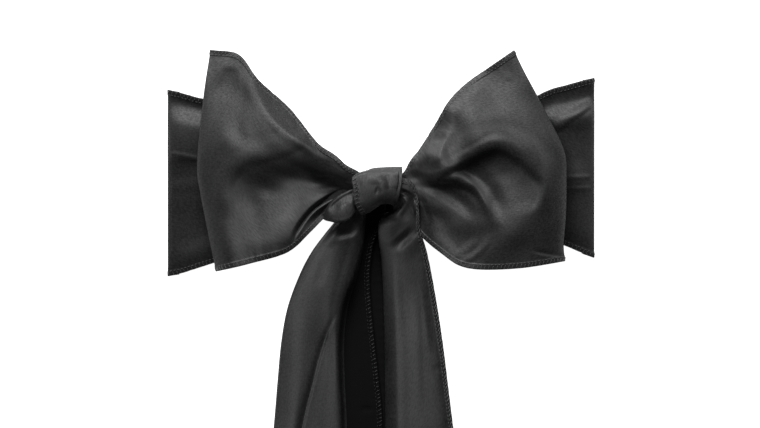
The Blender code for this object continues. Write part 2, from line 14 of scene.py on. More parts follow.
import bpy
import numpy as np
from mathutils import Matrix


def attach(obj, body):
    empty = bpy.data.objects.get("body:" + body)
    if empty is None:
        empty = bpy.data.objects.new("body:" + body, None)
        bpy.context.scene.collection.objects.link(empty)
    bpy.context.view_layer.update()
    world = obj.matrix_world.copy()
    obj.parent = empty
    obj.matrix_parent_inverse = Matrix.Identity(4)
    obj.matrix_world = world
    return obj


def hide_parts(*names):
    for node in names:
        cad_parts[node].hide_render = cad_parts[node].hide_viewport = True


# A millimetre in metres, and a length in millimetres that keeps a division off 0.
MM = 0.001
TINY = 1e-6

# The cloth and its hems. HEM_STEP is the width over which a hem's inner edge comes down to the
# cloth, and HEM_THINNEST is the square of the share of its fold that is left at its very edge.
CLOTH = 0.5
HEM_WIDTH = 4.8
HEM_THICK = 1.0
HEM_STEP = 0.8
HEM_ROUNDING = 0.9
HEM_THINNEST = 0.06

# The hems' stitches draw the cloth up in waves of three lengths that don't fit each other.
PuckerWave = namedtuple("PuckerWave", "length phase share")
PUCKER_WAVES = [PuckerWave(1.17, 0.0, 0.4), PuckerWave(1.83, 1.3, 0.35), PuckerWave(0.71, 2.1, 0.25)]
PUCKER = 0.28
PUCKER_REACH = 11.0

# An overlock thread runs from the hem's edge to OVERLOCK_REACH in from it, and OVERLOCK_SLANT on
# along it, and the threads' spacing wanders a little, as a sine of the length along the hem. The
# needle thread runs behind them. Each is laid from below or above the middle of the cloth, by its
# sink or lift, and then raised as a whole.
OVERLOCK_START = 0.6
OVERLOCK_PITCH = 3.1
OVERLOCK_SLANT = 1.3
OVERLOCK_REACH = 3.3
OVERLOCK_WANDER = 0.35
OVERLOCK_WANDER_RATE = 1.7
OVERLOCK_RAISED = 0.35
NEEDLE_START = 0.8
NEEDLE_PITCH = 2.9
NEEDLE_LENGTH = 2.0
NEEDLE_FROM_EDGE = HEM_WIDTH - 0.9
NEEDLE_SINK = 0.12
NEEDLE_RAISED = 0.1
THREAD_SINK = 0.1
THREAD_LIFT = HEM_THICK / 2 + 0.05

# THREAD_THINNEST is the square of the share of a thread's radius that is left at its ends.
THREAD_RADIUS = 0.3
THREAD_THINNEST = 0.12
THREAD_RINGS = 5
THREAD_SIDES = 4

# The solids' own sizes.
TAIL_END_Y = -552.0
FAR_RUN_RIM = 1.4
FAR_RUN_INSET = 1.0
FAR_RUN_RISE = 0.45
FAR_RUN_HALF_SPAN = 158.5
NEAR_RUN_HEM = 2.45
CORNER_DROOP = 5.5

# A loop's layers stay at least LAYER_GAP apart. It is in the knot's grip up to NECK_SHARE of its
# length, and its corners droop past DROOP_FROM of the way from its middle line to a hem. Its rows
# crowd towards the outer fold by ROW_SWELL and ROW_POWER, and its columns towards the hems by
# COLUMN_CROWDING.
LAYER_GAP = 2.4
NECK_SHARE = 0.16
DROOP_FROM = 0.7
ROW_SWELL = 0.12
ROW_POWER = 1.8
COLUMN_CROWDING = 0.5

# Rows and columns of points on each sheet. A loop has its front layer's rows, its back layer's
# rows and its columns, and a ring's columns go round it.
BAND_GRID = (150, 120)
FAR_RUN_GRID = (60, 60)
LOOP_GRID = (150, 56, 170)
KNOT_GRID = (60, 140)
LOBE_GRID = (60, 80)
LEFT_TAIL_GRID = (230, 130)
RIGHT_TAIL_GRID = (230, 120)

# Points that stand for a fold's path, and for a curve whose length is measured.
PATH_STEPS = 64
CURVE_STEPS = 240

# A fold is a ridge, or with a height below 0 a trough, pressed into a sheet along a path seen from
# above. left and right are its half-widths on the two sides of the path's own direction, crest is
# 2 for a round crest and nearer 1 for a sharp one, and fade holds the shares of the path over which
# it dies away at its start and at its end.
Fold = namedtuple("Fold", "name height left right crest fade path")

# A loop seen from above: its hems run from the knot to the outer fold, and neck and outer_fold run
# from the lower hem to the upper one. Its lines run along the front layer, evenly spaced from the
# lower hem to the upper one, each with its heights at even steps from the knot to the outer fold.
# back holds the back layer's heights in the same way, and neck_front and neck_back are the layers'
# heights in the knot.
LoopLine = namedtuple("LoopLine", "name heights")
Loop = namedtuple("Loop", "neck lower_hem upper_hem outer_fold lines back neck_front neck_back folds")

LEFT_LOOP = Loop(
    neck=[(-12, -4), (-12, 3), (-12, 10)],
    lower_hem=[(-12, -4), (-29, -8), (-44, -20), (-56, -32), (-72, -46.5), (-102.5, -56), (-129, -62.3)],
    upper_hem=[
        (-12, 10), (-17, 15.5), (-27, 21), (-36, 29), (-48, 37), (-71.5, 65.5), (-96.6, 88.6),
        (-112, 108.4), (-134.2, 112.2),
    ],
    outer_fold=[(-129, -62.3), (-136.5, -26), (-142, 2), (-144, 17), (-139.6, 72), (-134.2, 112.2)],
    lines=[
        LoopLine("lower_hem", [9.0, 10.0, 11.5, 14.0, 16.0, 21.0, 26.5, 32.0, 33.5, 33.5, 35.0, 31.0]),
        LoopLine("hem_slope", [10.0, 11.5, 12.5, 13.5, 16.5, 23.5, 29.0, 32.0, 32.0, 31.5, 33.5, 30.0]),
        LoopLine("belly_crest", [11.0, 12.5, 14.5, 17.5, 20.5, 24.5, 28.5, 29.5, 28.5, 29.0, 31.5, 28.5]),
        LoopLine("belly_front", [13.0, 14.0, 15.5, 18.5, 20.5, 23.5, 26.0, 26.5, 25.5, 27.0, 29.5, 27.0]),
        LoopLine("belly", [15.5, 15.5, 16.5, 17.5, 19.0, 21.5, 23.5, 24.0, 23.5, 25.5, 28.0, 25.5]),
        LoopLine("belly_back", [18.5, 18.5, 17.0, 17.0, 18.0, 20.0, 22.0, 22.5, 24.0, 25.5, 26.5, 24.5]),
        LoopLine("hollow_floor", [21.0, 21.5, 20.0, 17.0, 17.5, 19.5, 23.5, 26.5, 27.0, 26.5, 25.5, 23.5]),
        LoopLine("hollow_wall", [22.5, 23.0, 23.5, 21.0, 20.5, 24.0, 28.0, 29.5, 28.5, 26.5, 24.0, 22.0]),
        LoopLine("shoulder", [23.5, 24.5, 26.0, 25.5, 26.0, 28.5, 30.0, 29.0, 26.5, 22.5, 21.5, 19.5]),
        LoopLine(
            "upper_shoulder", [24.0, 25.5, 27.0, 28.0, 29.0, 30.0, 30.0, 27.5, 23.5, 19.5, 18.0, 17.0]
        ),
        LoopLine("crown", [24.0, 26.0, 27.0, 29.0, 30.5, 29.5, 27.5, 24.5, 20.5, 16.5, 14.0, 14.0]),
        LoopLine("upper_slope", [24.0, 26.0, 27.0, 28.0, 27.5, 23.5, 20.5, 19.0, 18.0, 14.5, 11.5, 10.0]),
        LoopLine("upper_hem", [24.0, 25.5, 26.5, 27.5, 23.5, 17.5, 13.0, 12.0, 14.0, 11.5, 7.5, 6.5]),
    ],
    back=[16, 12, 11, 10.5, 10],
    neck_front=22.5,
    neck_back=17.0,
    folds=[
        Fold("crown", 0.6, 8, 6, 2, (0.2, 0.3), [
            (-56, 37), (-71, 43), (-80, 53), (-88, 63), (-95, 78),
        ]),
        Fold("arch", 1.2, 7, 16, 2, (0.25, 0.3), [
            (-44, 26), (-59, 39), (-76, 33), (-92, 28), (-107, 26), (-118, 16), (-119, -3),
        ]),
        Fold("belly", 1.1, 7, 16, 2, (0.3, 0.4), [(-56, -13), (-65, -24), (-72, -35), (-86, -42)]),
        Fold("tuck", -4.5, 2, 4, 1.7, (0.2, 0.25), [
            (-26, 1), (-40, -5), (-53, -14), (-60, -22), (-66, -32), (-69, -41),
        ]),
        Fold("hem_roll", 0.6, 4, 7, 2, (0.3, 0.3), [
            (-60, 41), (-50, 35), (-39, 26), (-28, 20), (-20, 13),
        ]),
        Fold("streak", 0.5, 3, 3, 1.8, (0.4, 0.4), [(-66, 46), (-76, 56), (-83, 67)]),
        Fold("dent", -0.5, 6, 14, 2, (0.4, 0.4), [(-127, 94), (-119, 93), (-111, 91)]),
        Fold("crescent", 1.3, 13, 7, 2, (0.3, 0.3), [
            (-118, -23), (-120, -8), (-120, 8), (-110, 20), (-93, 27),
        ]),
        Fold("crown_flank", -0.4, 5, 5, 2, (0.3, 0.3), [(-95, 84), (-85, 64), (-71, 49), (-58, 38)]),
        Fold("hem_strip", -1.0, 5, 5, 2, (0.3, 0.3), [(-66, -46), (-80, -51), (-104, -57)]),
    ],
)

RIGHT_LOOP = Loop(
    neck=[(8, 2), (8, 7), (8, 12)],
    lower_hem=[
        (8, 2), (21, -17), (31, -34), (37, -40), (47, -48), (60, -57), (73, -60.2), (107, -59.6),
        (144.2, -54.2),
    ],
    upper_hem=[
        (8, 12), (14.5, 12.6), (18.5, 16.5), (22.5, 24), (30, 33.5), (43, 54), (53, 71.2), (66, 84.6),
        (83, 97), (104.6, 111.8),
    ],
    outer_fold=[
        (144.2, -54.2), (143, -41), (144.6, -18), (145, 11), (144, 30), (130.4, 60.4), (112, 95.6),
        (104.6, 111.8),
    ],
    lines=[
        LoopLine("lower_hem", [21.5, 21.0, 21.0, 21.0, 26.0, 29.0, 31.5, 32.5, 33.0, 31.0, 27.0, 23.5]),
        LoopLine("low_rim", [22.5, 21.5, 21.0, 21.5, 25.5, 26.5, 29.0, 32.0, 33.5, 31.5, 28.0, 25.0]),
        LoopLine("cone_foot", [23.0, 22.0, 20.5, 22.5, 24.5, 25.5, 27.0, 30.5, 35.0, 34.0, 29.5, 26.0]),
        LoopLine("cone_flank", [23.0, 23.0, 22.5, 24.0, 24.0, 26.0, 27.0, 29.5, 33.0, 33.0, 30.0, 26.0]),
        LoopLine("cone", [23.5, 24.0, 25.0, 26.5, 25.5, 25.5, 26.0, 28.0, 29.5, 29.5, 30.0, 26.0]),
        LoopLine("cone_back", [23.5, 25.5, 26.0, 27.0, 25.5, 24.5, 24.5, 26.0, 26.0, 27.0, 28.0, 25.5]),
        LoopLine("basin", [24.5, 25.0, 26.0, 27.0, 26.0, 25.0, 24.5, 23.5, 23.5, 26.5, 26.5, 24.0]),
        LoopLine("basin_wall", [23.5, 24.5, 26.5, 29.0, 30.0, 30.0, 25.0, 23.0, 24.5, 26.0, 24.5, 21.5]),
        LoopLine("arch_foot", [21.5, 24.0, 26.0, 29.5, 32.5, 30.0, 28.5, 29.5, 27.0, 24.5, 21.5, 19.0]),
        LoopLine("arch", [20.5, 23.5, 26.0, 28.0, 33.5, 29.5, 29.0, 30.0, 26.0, 21.5, 18.0, 17.0]),
        LoopLine("upper_plane", [20.5, 24.0, 25.5, 27.5, 30.5, 29.0, 27.0, 27.0, 22.0, 17.0, 14.5, 15.0]),
        LoopLine("upper_slope", [22.5, 23.5, 25.0, 24.0, 22.5, 23.0, 24.5, 22.0, 17.5, 12.5, 10.5, 11.5]),
        LoopLine("upper_hem", [24.0, 23.5, 23.0, 19.5, 16.5, 20.0, 19.0, 15.5, 11.5, 8.5, 7.5, 8.0]),
    ],
    back=[17.5, 12, 11, 10.5, 10],
    neck_front=25.0,
    neck_back=18.0,
    folds=[
        Fold("arch", 3.1, 21, 7, 1.8, (0.15, 0.3), [
            (31, 11), (50, 19), (67, 26), (80, 33), (91, 34), (100, 32), (110, 26), (119, 18),
            (128, 8), (125, -11), (111, -24),
        ]),
        Fold("second_ridge", -3.0, 15, 5, 2, (0.2, 0.3), [
            (52, 16), (60, 17), (70, 14), (77, 5), (83, -4), (88, -17), (88, -26),
        ]),
        Fold("second_crease", 3.7, 9, 6, 1.7, (0.2, 0.3), [
            (31, 8), (48, 10), (62, 8), (74, 3), (82, -8), (86, -20), (86, -32),
        ]),
        Fold("cone", -1.7, 8, 8, 2, (0.2, 0.3), [
            (17, 10), (32, 9), (47, 1), (60, -7), (71, -17), (78, -25),
        ]),
        Fold("low_rim", 0.5, 6, 5, 2, (0.3, 0.3), [
            (43, -36), (51, -41), (59, -49), (72, -41), (83, -31),
        ]),
        Fold("outer_rim", 0.6, 5, 4, 2, (0.3, 0.3), [(57, -55), (71, -51), (80, -43), (86, -31)]),
        Fold("pinch", -1.0, 4, 3, 1.9, (0.3, 0.55), [(28, -3), (35, -12), (37, -25)]),
        Fold("second_pinch", 0.7, 3, 3, 1.9, (0.3, 0.55), [(34, -7), (38, -16), (42, -26)]),
        Fold("dimple", -0.3, 4, 7, 2, (0.4, 0.4), [(18, 14), (25, 14), (33, 17)]),
        Fold("hem_dent", -2.6, 7, 4, 2, (0.4, 0.4), [(41, 25), (44, 36), (50, 47)]),
        Fold("hem_swell", 0.4, 6, 9, 2, (0.3, 0.3), [(49, 56), (61, 70), (71, 79), (81, 89)]),
        Fold("side_turn", 0.5, 8, 11, 2, (0.3, 0.3), [
            (108, 89), (117, 66), (129, 47), (133, 24), (134, 0),
        ]),
        Fold("corner_crease", -0.9, 3, 3, 1.8, (0.3, 0.2), [(116, -45), (130, -48), (141, -49)]),
        Fold("basin_valley", 0.2, 6, 6, 2, (0.3, 0.3), [(90, 14), (87, 4), (86, -8)]),
        Fold("arch_crease", 1.8, 9, 6, 2, (0.2, 0.3), [
            (35, 7), (51, 17), (67, 25), (79, 32), (90, 37), (102, 32), (109, 22),
        ]),
    ],
)

# A band's near run. Each row is a line along it, with its share of the way from the lower hem to
# the upper one, and its height at each of the places in BAND_PLACES, from the knot outwards.
BandLine = namedtuple("BandLine", "name share heights")

# Distances from the knot's middle along X. After the first FAR_RUN_PLACES, over the far run, the
# near run turns under at the side fold. Its folds stay within SIDE_FOLD_SHARE of its rows.
BAND_PLACES = [11, 24, 42, 72, 105, 130, 146, 156, 162.5, 166.2, 168, 166, 159.3]
FAR_RUN_PLACES = 9
SIDE_FOLD_SHARE = 0.72

LEFT_BAND_HEMS = {
    "lower": [-8, -9, -13, -31, -45, -55, -60.3, -63.5, -65.2, -66, -66.4, -66, -65],
    "upper": [10, 12, 19, 43, 58, 70.8, 75, 77.9, 79.6, 80.5, 80.9, 80.5, 79.4],
}

RIGHT_BAND_HEMS = {
    "lower": [-8, -11, -20, -31, -34, -36.8, -42.6, -46.8, -49.5, -51.1, -51.7, -51.1, -48.8],
    "upper": [10, 14, 29, 49, 66, 79.6, 84.4, 87.2, 88.9, 89.8, 90.2, 89.8, 88.7],
}

LEFT_BAND = [
    BandLine("lower_hem", 0.00, [5.0, 4.5, 3.5, 2.9, 2.5, 2.5, 2.6, 2.8, 3.2, 3.1, 1.9, 0.6, 0.6]),
    BandLine("lower_strip", 0.08, [6.0, 5.5, 4.8, 4.2, 4.0, 4.8, 5.6, 5.6, 5.0, 4.2, 2.6, 0.8, 0.6]),
    BandLine("lower_valley", 0.20, [7.2, 6.8, 5.6, 4.8, 4.6, 4.6, 4.8, 5.0, 5.2, 4.4, 2.8, 0.8, 0.6]),
    BandLine("flat", 0.42, [7.4, 7.0, 6.2, 6.0, 5.8, 5.8, 6.2, 6.4, 6.2, 5.2, 3.2, 0.8, 0.6]),
    BandLine("crest_foot", 0.59, [9.1, 8.2, 6.6, 6.0, 6.0, 6.6, 7.2, 7.6, 7.4, 6.2, 3.8, 0.8, 0.6]),
    BandLine("crest", 0.66, [8.4, 8.6, 8.6, 8.5, 8.4, 8.3, 9.6, 10.6, 9.8, 8, 4.8, 0.8, 0.6]),
    BandLine("back_slope", 0.82, [7.2, 7.6, 7.4, 7.6, 7.8, 8.4, 9.8, 9.8, 8.6, 6.8, 4.2, 0.8, 0.6]),
    BandLine("upper_roll", 0.94, [6.2, 6.0, 5.4, 5.0, 4.6, 4.4, 4.4, 4.4, 4.2, 3.6, 2.4, 0.8, 0.6]),
    BandLine("upper_hem", 1.00, [5.0, 4.5, 3.5, 3.4, 4.2, 5.8, 6.4, 6.6, 6.2, 5.2, 3.0, 0.8, 0.6]),
]

RIGHT_BAND = [
    BandLine("lower_hem", 0.00, [5.0, 4.5, 3.5, 2.9, 2.5, 2.5, 2.6, 2.8, 3.2, 3.1, 1.9, 0.6, 0.6]),
    BandLine("lower_roll", 0.10, [6.4, 6.0, 5.0, 4.4, 4.2, 4.4, 4.8, 5.0, 5.0, 4.2, 2.6, 0.8, 0.6]),
    BandLine("flat", 0.30, [7.6, 7.2, 6.4, 6.0, 5.6, 5.4, 5.4, 5.8, 5.8, 4.8, 3.0, 0.8, 0.6]),
    BandLine("faint_ridge", 0.42, [8.9, 8.4, 8.2, 7.8, 7.2, 7.2, 7.4, 7.6, 6.8, 5.6, 3.4, 0.8, 0.6]),
    BandLine("dark_slope", 0.55, [8.9, 7.6, 7.0, 6.4, 6.2, 6.2, 6.4, 6.8, 6.6, 5.6, 3.4, 0.8, 0.6]),
    BandLine("crest_foot", 0.70, [8.9, 7.2, 6.6, 6.4, 6.6, 7.0, 7.6, 8.0, 7.6, 6.2, 3.8, 0.8, 0.6]),
    BandLine("crest", 0.79, [6.8, 7.4, 8.0, 8.4, 8.5, 8.5, 9.6, 10.6, 9.8, 8, 4.6, 0.8, 0.6]),
    BandLine("upper_roll", 0.90, [6.0, 6.0, 5.6, 5.4, 5.0, 5.0, 5.4, 5.6, 5.2, 4.4, 2.8, 0.8, 0.6]),
    BandLine("upper_hem", 1.00, [5.0, 4.5, 3.5, 3.6, 5.0, 7.0, 8.0, 8.2, 7.4, 6.0, 3.4, 0.8, 0.6]),
]

# A tail is a sheet through lines that run down it, each row one line with its points (x, y, z) at
# the same stations, from the knot to the end. The rows go across the cloth from one side hem to
# the other. Shares of its columns say where its front layer starts, over FRONT_EASE of them, and
# where the left tail's strip lies with its reverse up, in the gap between the tails, where its
# near-black colour is painted shade.
TailLine = namedtuple("TailLine", "name points")
LEFT_FRONT_FROM = 0.25
RIGHT_FRONT_FROM = 0.3
FRONT_EASE = 0.05
LEFT_REVERSE_AND_SHADE_FROM = 0.81

LEFT_TAIL = [
    TailLine("under_hem", [
        (8, -5, 7.4), (9, -16, 7.4), (6, -30, 4.6), (2.2, -46, 1.6), (1.6, -66, 0.6), (3.2, -91, 0.6),
        (4.2, -118, 0.6), (4.6, -150, 0.6), (5, -184, 0.6), (5.4, -260, 0.6), (5.4, -360, 0.6),
        (4.6, -460, 0.6), (3.6, TAIL_END_Y, 0.6),
    ]),
    TailLine("under_bend", [
        (-26, -12, 9.4), (-31, -21.5, 8.4), (-39, -32, 5), (-50, -47, 2), (-60, -66, 0.8),
        (-69, -91, 0.6), (-74, -118, 0.6), (-77, -150, 0.6), (-80, -184, 0.6), (-87, -260, 0.6),
        (-98, -360, 0.6), (-111, -460, 0.6), (-124, TAIL_END_Y, 0.6),
    ]),
    TailLine("left_fold", [
        (-29, -13, 11.5), (-35.5, -22.5, 12), (-44, -33, 12), (-55, -48, 9.5), (-64.3, -66, 7.5),
        (-73.5, -91, 6), (-78.5, -118, 4.6), (-81.5, -150, 4), (-84.3, -184, 3.9), (-91, -260, 3.8),
        (-102, -360, 3.5), (-114.5, -460, 2.8), (-127, TAIL_END_Y, 2.1),
    ]),
    TailLine("roll_left", [
        (-27, -12.5, 14), (-33.5, -22, 13.5), (-41, -32.5, 14.5), (-51, -47, 12.5), (-60, -66, 10.5),
        (-69, -91, 9), (-73.5, -118, 8), (-76, -150, 7.5), (-78, -184, 7.5), (-85, -260, 8),
        (-96, -360, 7), (-109, -460, 5.2), (-122, TAIL_END_Y, 3.6),
    ]),
    TailLine("roll_right", [
        (-25, -12, 19), (-30, -21.5, 21), (-36, -32, 19.5), (-44, -46.5, 16.5), (-52, -66, 14),
        (-60, -91, 12), (-63, -118, 11.5), (-65, -150, 11), (-69, -184, 10.5), (-78, -260, 10),
        (-89, -360, 8), (-102, -460, 6), (-113, TAIL_END_Y, 3.9),
    ]),
    TailLine("valley", [
        (-22, -12, 19), (-26, -21, 20.5), (-30, -31.5, 20.5), (-36, -46, 19.5), (-42, -66, 17.5),
        (-48, -91, 14.5), (-46, -118, 11), (-52, -150, 9.5), (-61, -184, 8.5), (-70, -260, 7),
        (-81, -360, 5.4), (-93, -460, 4.4), (-104, TAIL_END_Y, 3.3),
    ]),
    TailLine("strip", [
        (-18.5, -12, 17), (-21.5, -20.5, 19.5), (-24, -31, 20.5), (-27, -45.5, 20), (-33, -66, 19),
        (-39, -91, 16.5), (-40, -118, 12), (-42, -150, 10), (-46, -184, 8.6), (-50, -260, 7.6),
        (-56, -360, 6), (-63, -460, 4.4), (-70, TAIL_END_Y, 3.4),
    ]),
    TailLine("ridge", [
        (-15, -12, 15.5), (-15.5, -20.5, 17.5), (-16.5, -31, 19), (-18.3, -45, 17.8), (-23.5, -66, 17.3),
        (-31, -90, 15), (-34, -118, 12.4), (-33.6, -150, 10.8), (-32.5, -184, 9.6), (-33, -260, 8),
        (-35, -360, 6.5), (-38, -460, 4.4), (-42, TAIL_END_Y, 3),
    ]),
    TailLine("foot", [
        (-11, -11, 11.2), (-12.5, -20.5, 10.8), (-13, -31, 8), (-14.5, -45, 5.4), (-19, -66, 4.2),
        (-26.5, -90, 3.8), (-29.5, -118, 3.6), (-29, -150, 3.5), (-27.5, -184, 3.4), (-27, -260, 3.1),
        (-28, -360, 2.9), (-30, -460, 2.7), (-33, TAIL_END_Y, 2.5),
    ]),
    TailLine("gap_floor", [
        (-7, -8.5, 10.2), (-6, -19, 9.8), (-7.5, -30, 7.4), (-10.5, -44, 4.4), (-14.5, -66, 3.1),
        (-18, -90, 2.8), (-17, -118, 2.7), (-15, -150, 2.6), (-12, -184, 2.5), (-12, -260, 2.4),
        (-12, -360, 2.3), (-12, -460, 2.2), (-12, TAIL_END_Y, 2.2),
    ]),
    TailLine("gap_hem", [
        (4, -6.5, 10), (3, -18, 9.6), (-1, -29, 7.6), (-6.5, -43, 5), (-9, -66, 3.4), (-7.8, -90, 2.8),
        (-5, -118, 2.6), (-1.5, -150, 2.5), (1.2, -184, 2.4), (1.4, -260, 2.3), (1.6, -360, 2.2),
        (1.8, -460, 2.1), (2, TAIL_END_Y, 2.1),
    ]),
]

RIGHT_TAIL = [
    TailLine("under_hem", [
        (10, -5, 20.9), (12.3, -11.3, 17.8), (10.1, -17.9, 13.9), (10, -25, 10), (15, -38, 5),
        (25, -56, 1.6), (34, -86, 0.6), (39, -120, 0.6), (43, -160, 0.6), (47, -200, 0.6),
        (56, -290, 0.6), (64, -380, 0.6), (72, -470, 0.6), (80, TAIL_END_Y, 0.6),
    ]),
    TailLine("under_bend", [
        (8, -8.5, 21.3), (6.7, -15.1, 19.2), (2.5, -17.6, 14.7), (1.5, -25.5, 10.5), (2, -37, 6),
        (4, -55, 2), (5.5, -85, 0.6), (6.5, -120, 0.6), (7, -160, 0.6), (7.5, -200, 0.6),
        (9, -290, 0.6), (10, -380, 0.6), (11, -470, 0.6), (12, TAIL_END_Y, 0.6),
    ]),
    TailLine("left_fold", [
        (6.5, -7.5, 22), (8.5, -14, 18), (1, -19.5, 13.5), (-1.8, -26, 13), (-1.8, -37, 12),
        (0.6, -55, 7), (2, -85, 4.5), (3, -120, 4), (3.3, -160, 3.8), (3.8, -200, 3.6), (4.5, -290, 3.4),
        (5.2, -380, 3), (6, -470, 2.6), (7, TAIL_END_Y, 2.2),
    ]),
    TailLine("flank_top", [
        (9, -5.5, 27.5), (13.5, -12.6, 23), (7.5, -18.5, 18.8), (5, -26.5, 18), (6, -38, 17),
        (8.5, -55, 14), (10, -85, 12.4), (11.2, -120, 13), (11.8, -160, 14), (12.2, -200, 14.4),
        (14, -290, 10.5), (15, -380, 7), (16, -470, 5), (17, TAIL_END_Y, 3.9),
    ]),
    TailLine("crest", [
        (9.5, -1, 28), (17, -8, 27), (13.5, -18, 25), (13, -28, 20.5), (14.5, -40, 18.5), (17, -56, 16),
        (19, -85, 13.4), (22, -120, 14.6), (23, -160, 15.8), (24, -200, 16.2), (28, -290, 11.5),
        (32, -380, 7.2), (36, -470, 5), (40, TAIL_END_Y, 3.8),
    ]),
    TailLine("middle", [
        (9.5, 4, 32), (20, -3.5, 30), (20, -15, 26.5), (20, -27, 23), (22, -38, 20), (26, -54, 16.6),
        (30, -85, 14), (33, -120, 15.4), (35, -160, 16.6), (38, -200, 17), (46, -290, 11.5),
        (54, -380, 6.6), (62, -470, 4.8), (70, TAIL_END_Y, 3.5),
    ]),
    TailLine("right_slope", [
        (9.5, 8, 32), (22, 3, 30), (25, -9, 27.5), (26, -22, 24.5), (28, -34, 21.5), (33, -52, 16.6),
        (38.5, -85, 13.4), (43, -120, 14.8), (47, -160, 16), (51, -200, 16), (63, -290, 9.5),
        (74, -380, 5.4), (85, -470, 4), (95, TAIL_END_Y, 2.6),
    ]),
    TailLine("right_hem", [
        (9.5, 12, 31), (22.5, 9, 29.5), (28.3, -1, 27), (29.6, -16, 25), (31, -30, 21.5),
        (36.6, -50, 15), (43.2, -84, 11.4), (48.7, -120, 12.2), (53.6, -160, 13), (59, -200, 12.5),
        (74, -290, 6.5), (87, -380, 2.8), (99, -470, 1.6), (110, TAIL_END_Y, 0.7),
    ]),
]

LEFT_BAND_FOLDS = [
    Fold("crest_edge", 0.8, 4, 2.5, 1.8, (0.1, 0.2), [(-168, 30), (-155, 28), (-138, 24)]),
    Fold("faint", 0.4, 8, 7, 2, (0.2, 0.2), [(-168, 3), (-154, 5), (-138, 6)]),
]

RIGHT_BAND_FOLDS = [
    Fold("streak", 1.4, 7, 4, 2, (0.2, 0.2), [(134, 47), (146, 56), (156, 63), (168, 72)]),
    Fold("line", 0.4, 3, 2.5, 1.8, (0.2, 0.2), [(138, 11), (152, 11.5), (168, 12)]),
    Fold("second_line", 0.4, 3, 2.5, 1.8, (0.2, 0.2), [(138, 2.5), (152, 2.7), (168, 3)]),
]

LEFT_TAIL_FOLDS = [
    Fold("shelf", 0.35, 6, 4, 2, (0.2, 0.3), [
        (-15, -27), (-19, -33), (-26, -36.5), (-38, -37), (-49, -44),
    ]),
    Fold("pocket", -1.0, 5, 10, 2, (0.45, 0.45), [(-17, -23), (-21, -30), (-29, -33), (-40, -34)]),
    Fold("roll_edge", -1.3, 1.6, 4.5, 1.7, (0.12, 0.5), [
        (-33, -92), (-40, -106), (-48, -129), (-54, -152), (-60, -176), (-66, -210), (-76, -290),
    ]),
    Fold("soft_dip", -0.5, 6, 6, 2, (0.4, 0.4), [(-42, -48), (-46, -62), (-50, -78)]),
    Fold("gap_crease", -0.8, 3, 3, 1.6, (0.2, 0.4), [(-6, -172), (-12, -171), (-18, -173)]),
    Fold("far_crease", 1.2, 8, 6, 2, (0.3, 0.3), [(-60, -250), (-66, -330), (-76, -420), (-84, -500)]),
    Fold("far_dip", -1.0, 8, 8, 2, (0.3, 0.3), [(-40, -230), (-44, -320), (-54, -430)]),
]

RIGHT_TAIL_FOLDS = [
    Fold("diagonal", -2.4, 5.5, 6, 1.9, (0.5, 0.45), [(5, -46), (13, -41), (21, -34), (29, -26)]),
    Fold("over_diagonal", 0.6, 7, 9, 2, (0.5, 0.3), [(16, -58), (20, -47), (25, -38), (30, -28)]),
    Fold("inner_crease", -2.2, 3.2, 2.4, 1.7, (0.2, 0.3), [(14, 0.5), (19, -0.5), (24, -4), (27, -10)]),
    Fold("small_fold", 1.4, 2.2, 3.0, 1.8, (0.2, 0.3), [(13, -4), (19, -6), (24, -12), (27, -22)]),
    Fold("under_fold", -1.0, 5, 6, 2, (0.3, 0.5), [(13, -9), (17, -15), (20, -24)]),
    Fold("nick", -0.7, 2.0, 3.0, 1.5, (0.1, 0.5), [(49, -138), (44, -139), (39, -139)]),
    Fold("right_dip", -0.9, 9, 6, 2, (0.3, 0.3), [(36, -64), (40, -98), (44, -132)]),
    Fold("soft_ridge", 0.35, 5, 5, 2, (0.3, 0.3), [(26, -70), (28, -120), (30, -180)]),
    Fold("far_roll", 1.6, 12, 9, 2, (0.3, 0.3), [(36, -220), (46, -320), (56, -420), (62, -500)]),
    Fold("far_dip", -1.2, 9, 9, 2, (0.3, 0.3), [(56, -240), (70, -340), (80, -430)]),
]

# The knot's wrap, seen from above: the lower and upper edges run from its left rim to its right
# one, and each rim runs from the lower edge to the upper one, once over the front and once behind.
KNOT_LOWER = [(-15.5, -17.8), (-10, -16.3), (-4, -12.5), (0.5, -9.6), (5, -9.2), (10, -10)]
KNOT_UPPER = [(-13.3, 15), (-7.8, 18.1), (3.1, 19.3), (16.5, 19.7)]
KNOT_LEFT_FRONT = [(-15.5, -17.8), (-20.4, -9.1), (-21.5, 1.6), (-22.2, 11.5), (-13.3, 15)]
KNOT_RIGHT_FRONT = [(10, -10), (13.2, -5.5), (14.8, 0), (16.6, 12), (16.5, 19.7)]
KNOT_LEFT_BACK = [(-15.5, -17.8), (-13, -6), (-12, 5), (-13.3, 15)]
KNOT_RIGHT_BACK = [(10, -10), (8.5, 0), (10.5, 12), (16.5, 19.7)]
KNOT_MIDDLE = 23.5
KNOT_HALF_DEPTH = 12.9
# The columns of the knot's ring, all on its front, between which its left rim's stitches run.
KNOT_STITCHED = slice(4, 66)
KNOT_FOLDS = [
    Fold("left_dip", -0.7, 4, 4, 2, (0.3, 0.3), [(-18, 12), (-17, 2), (-15, -9)]),
    Fold("ridge", 1.3, 6, 5, 2, (0.3, 0.3), [
        (-12, 13), (-8, 10), (-2, 9.5), (1.5, 4), (0, -4), (-4, -10),
    ]),
    Fold("dimple", -0.9, 3, 5, 2, (0.4, 0.4), [(-5, 2.5), (-2, 1.5), (0, -1)]),
    Fold("right_roll", 0.5, 5, 4, 2, (0.3, 0.3), [(9, 18), (9.5, 8), (7, -4)]),
    Fold("edge_line", -0.7, 1.1, 1.1, 1.5, (0.1, 0.2), [(14.4, 19), (14.2, 8), (12.4, 0), (10.2, -7)]),
]

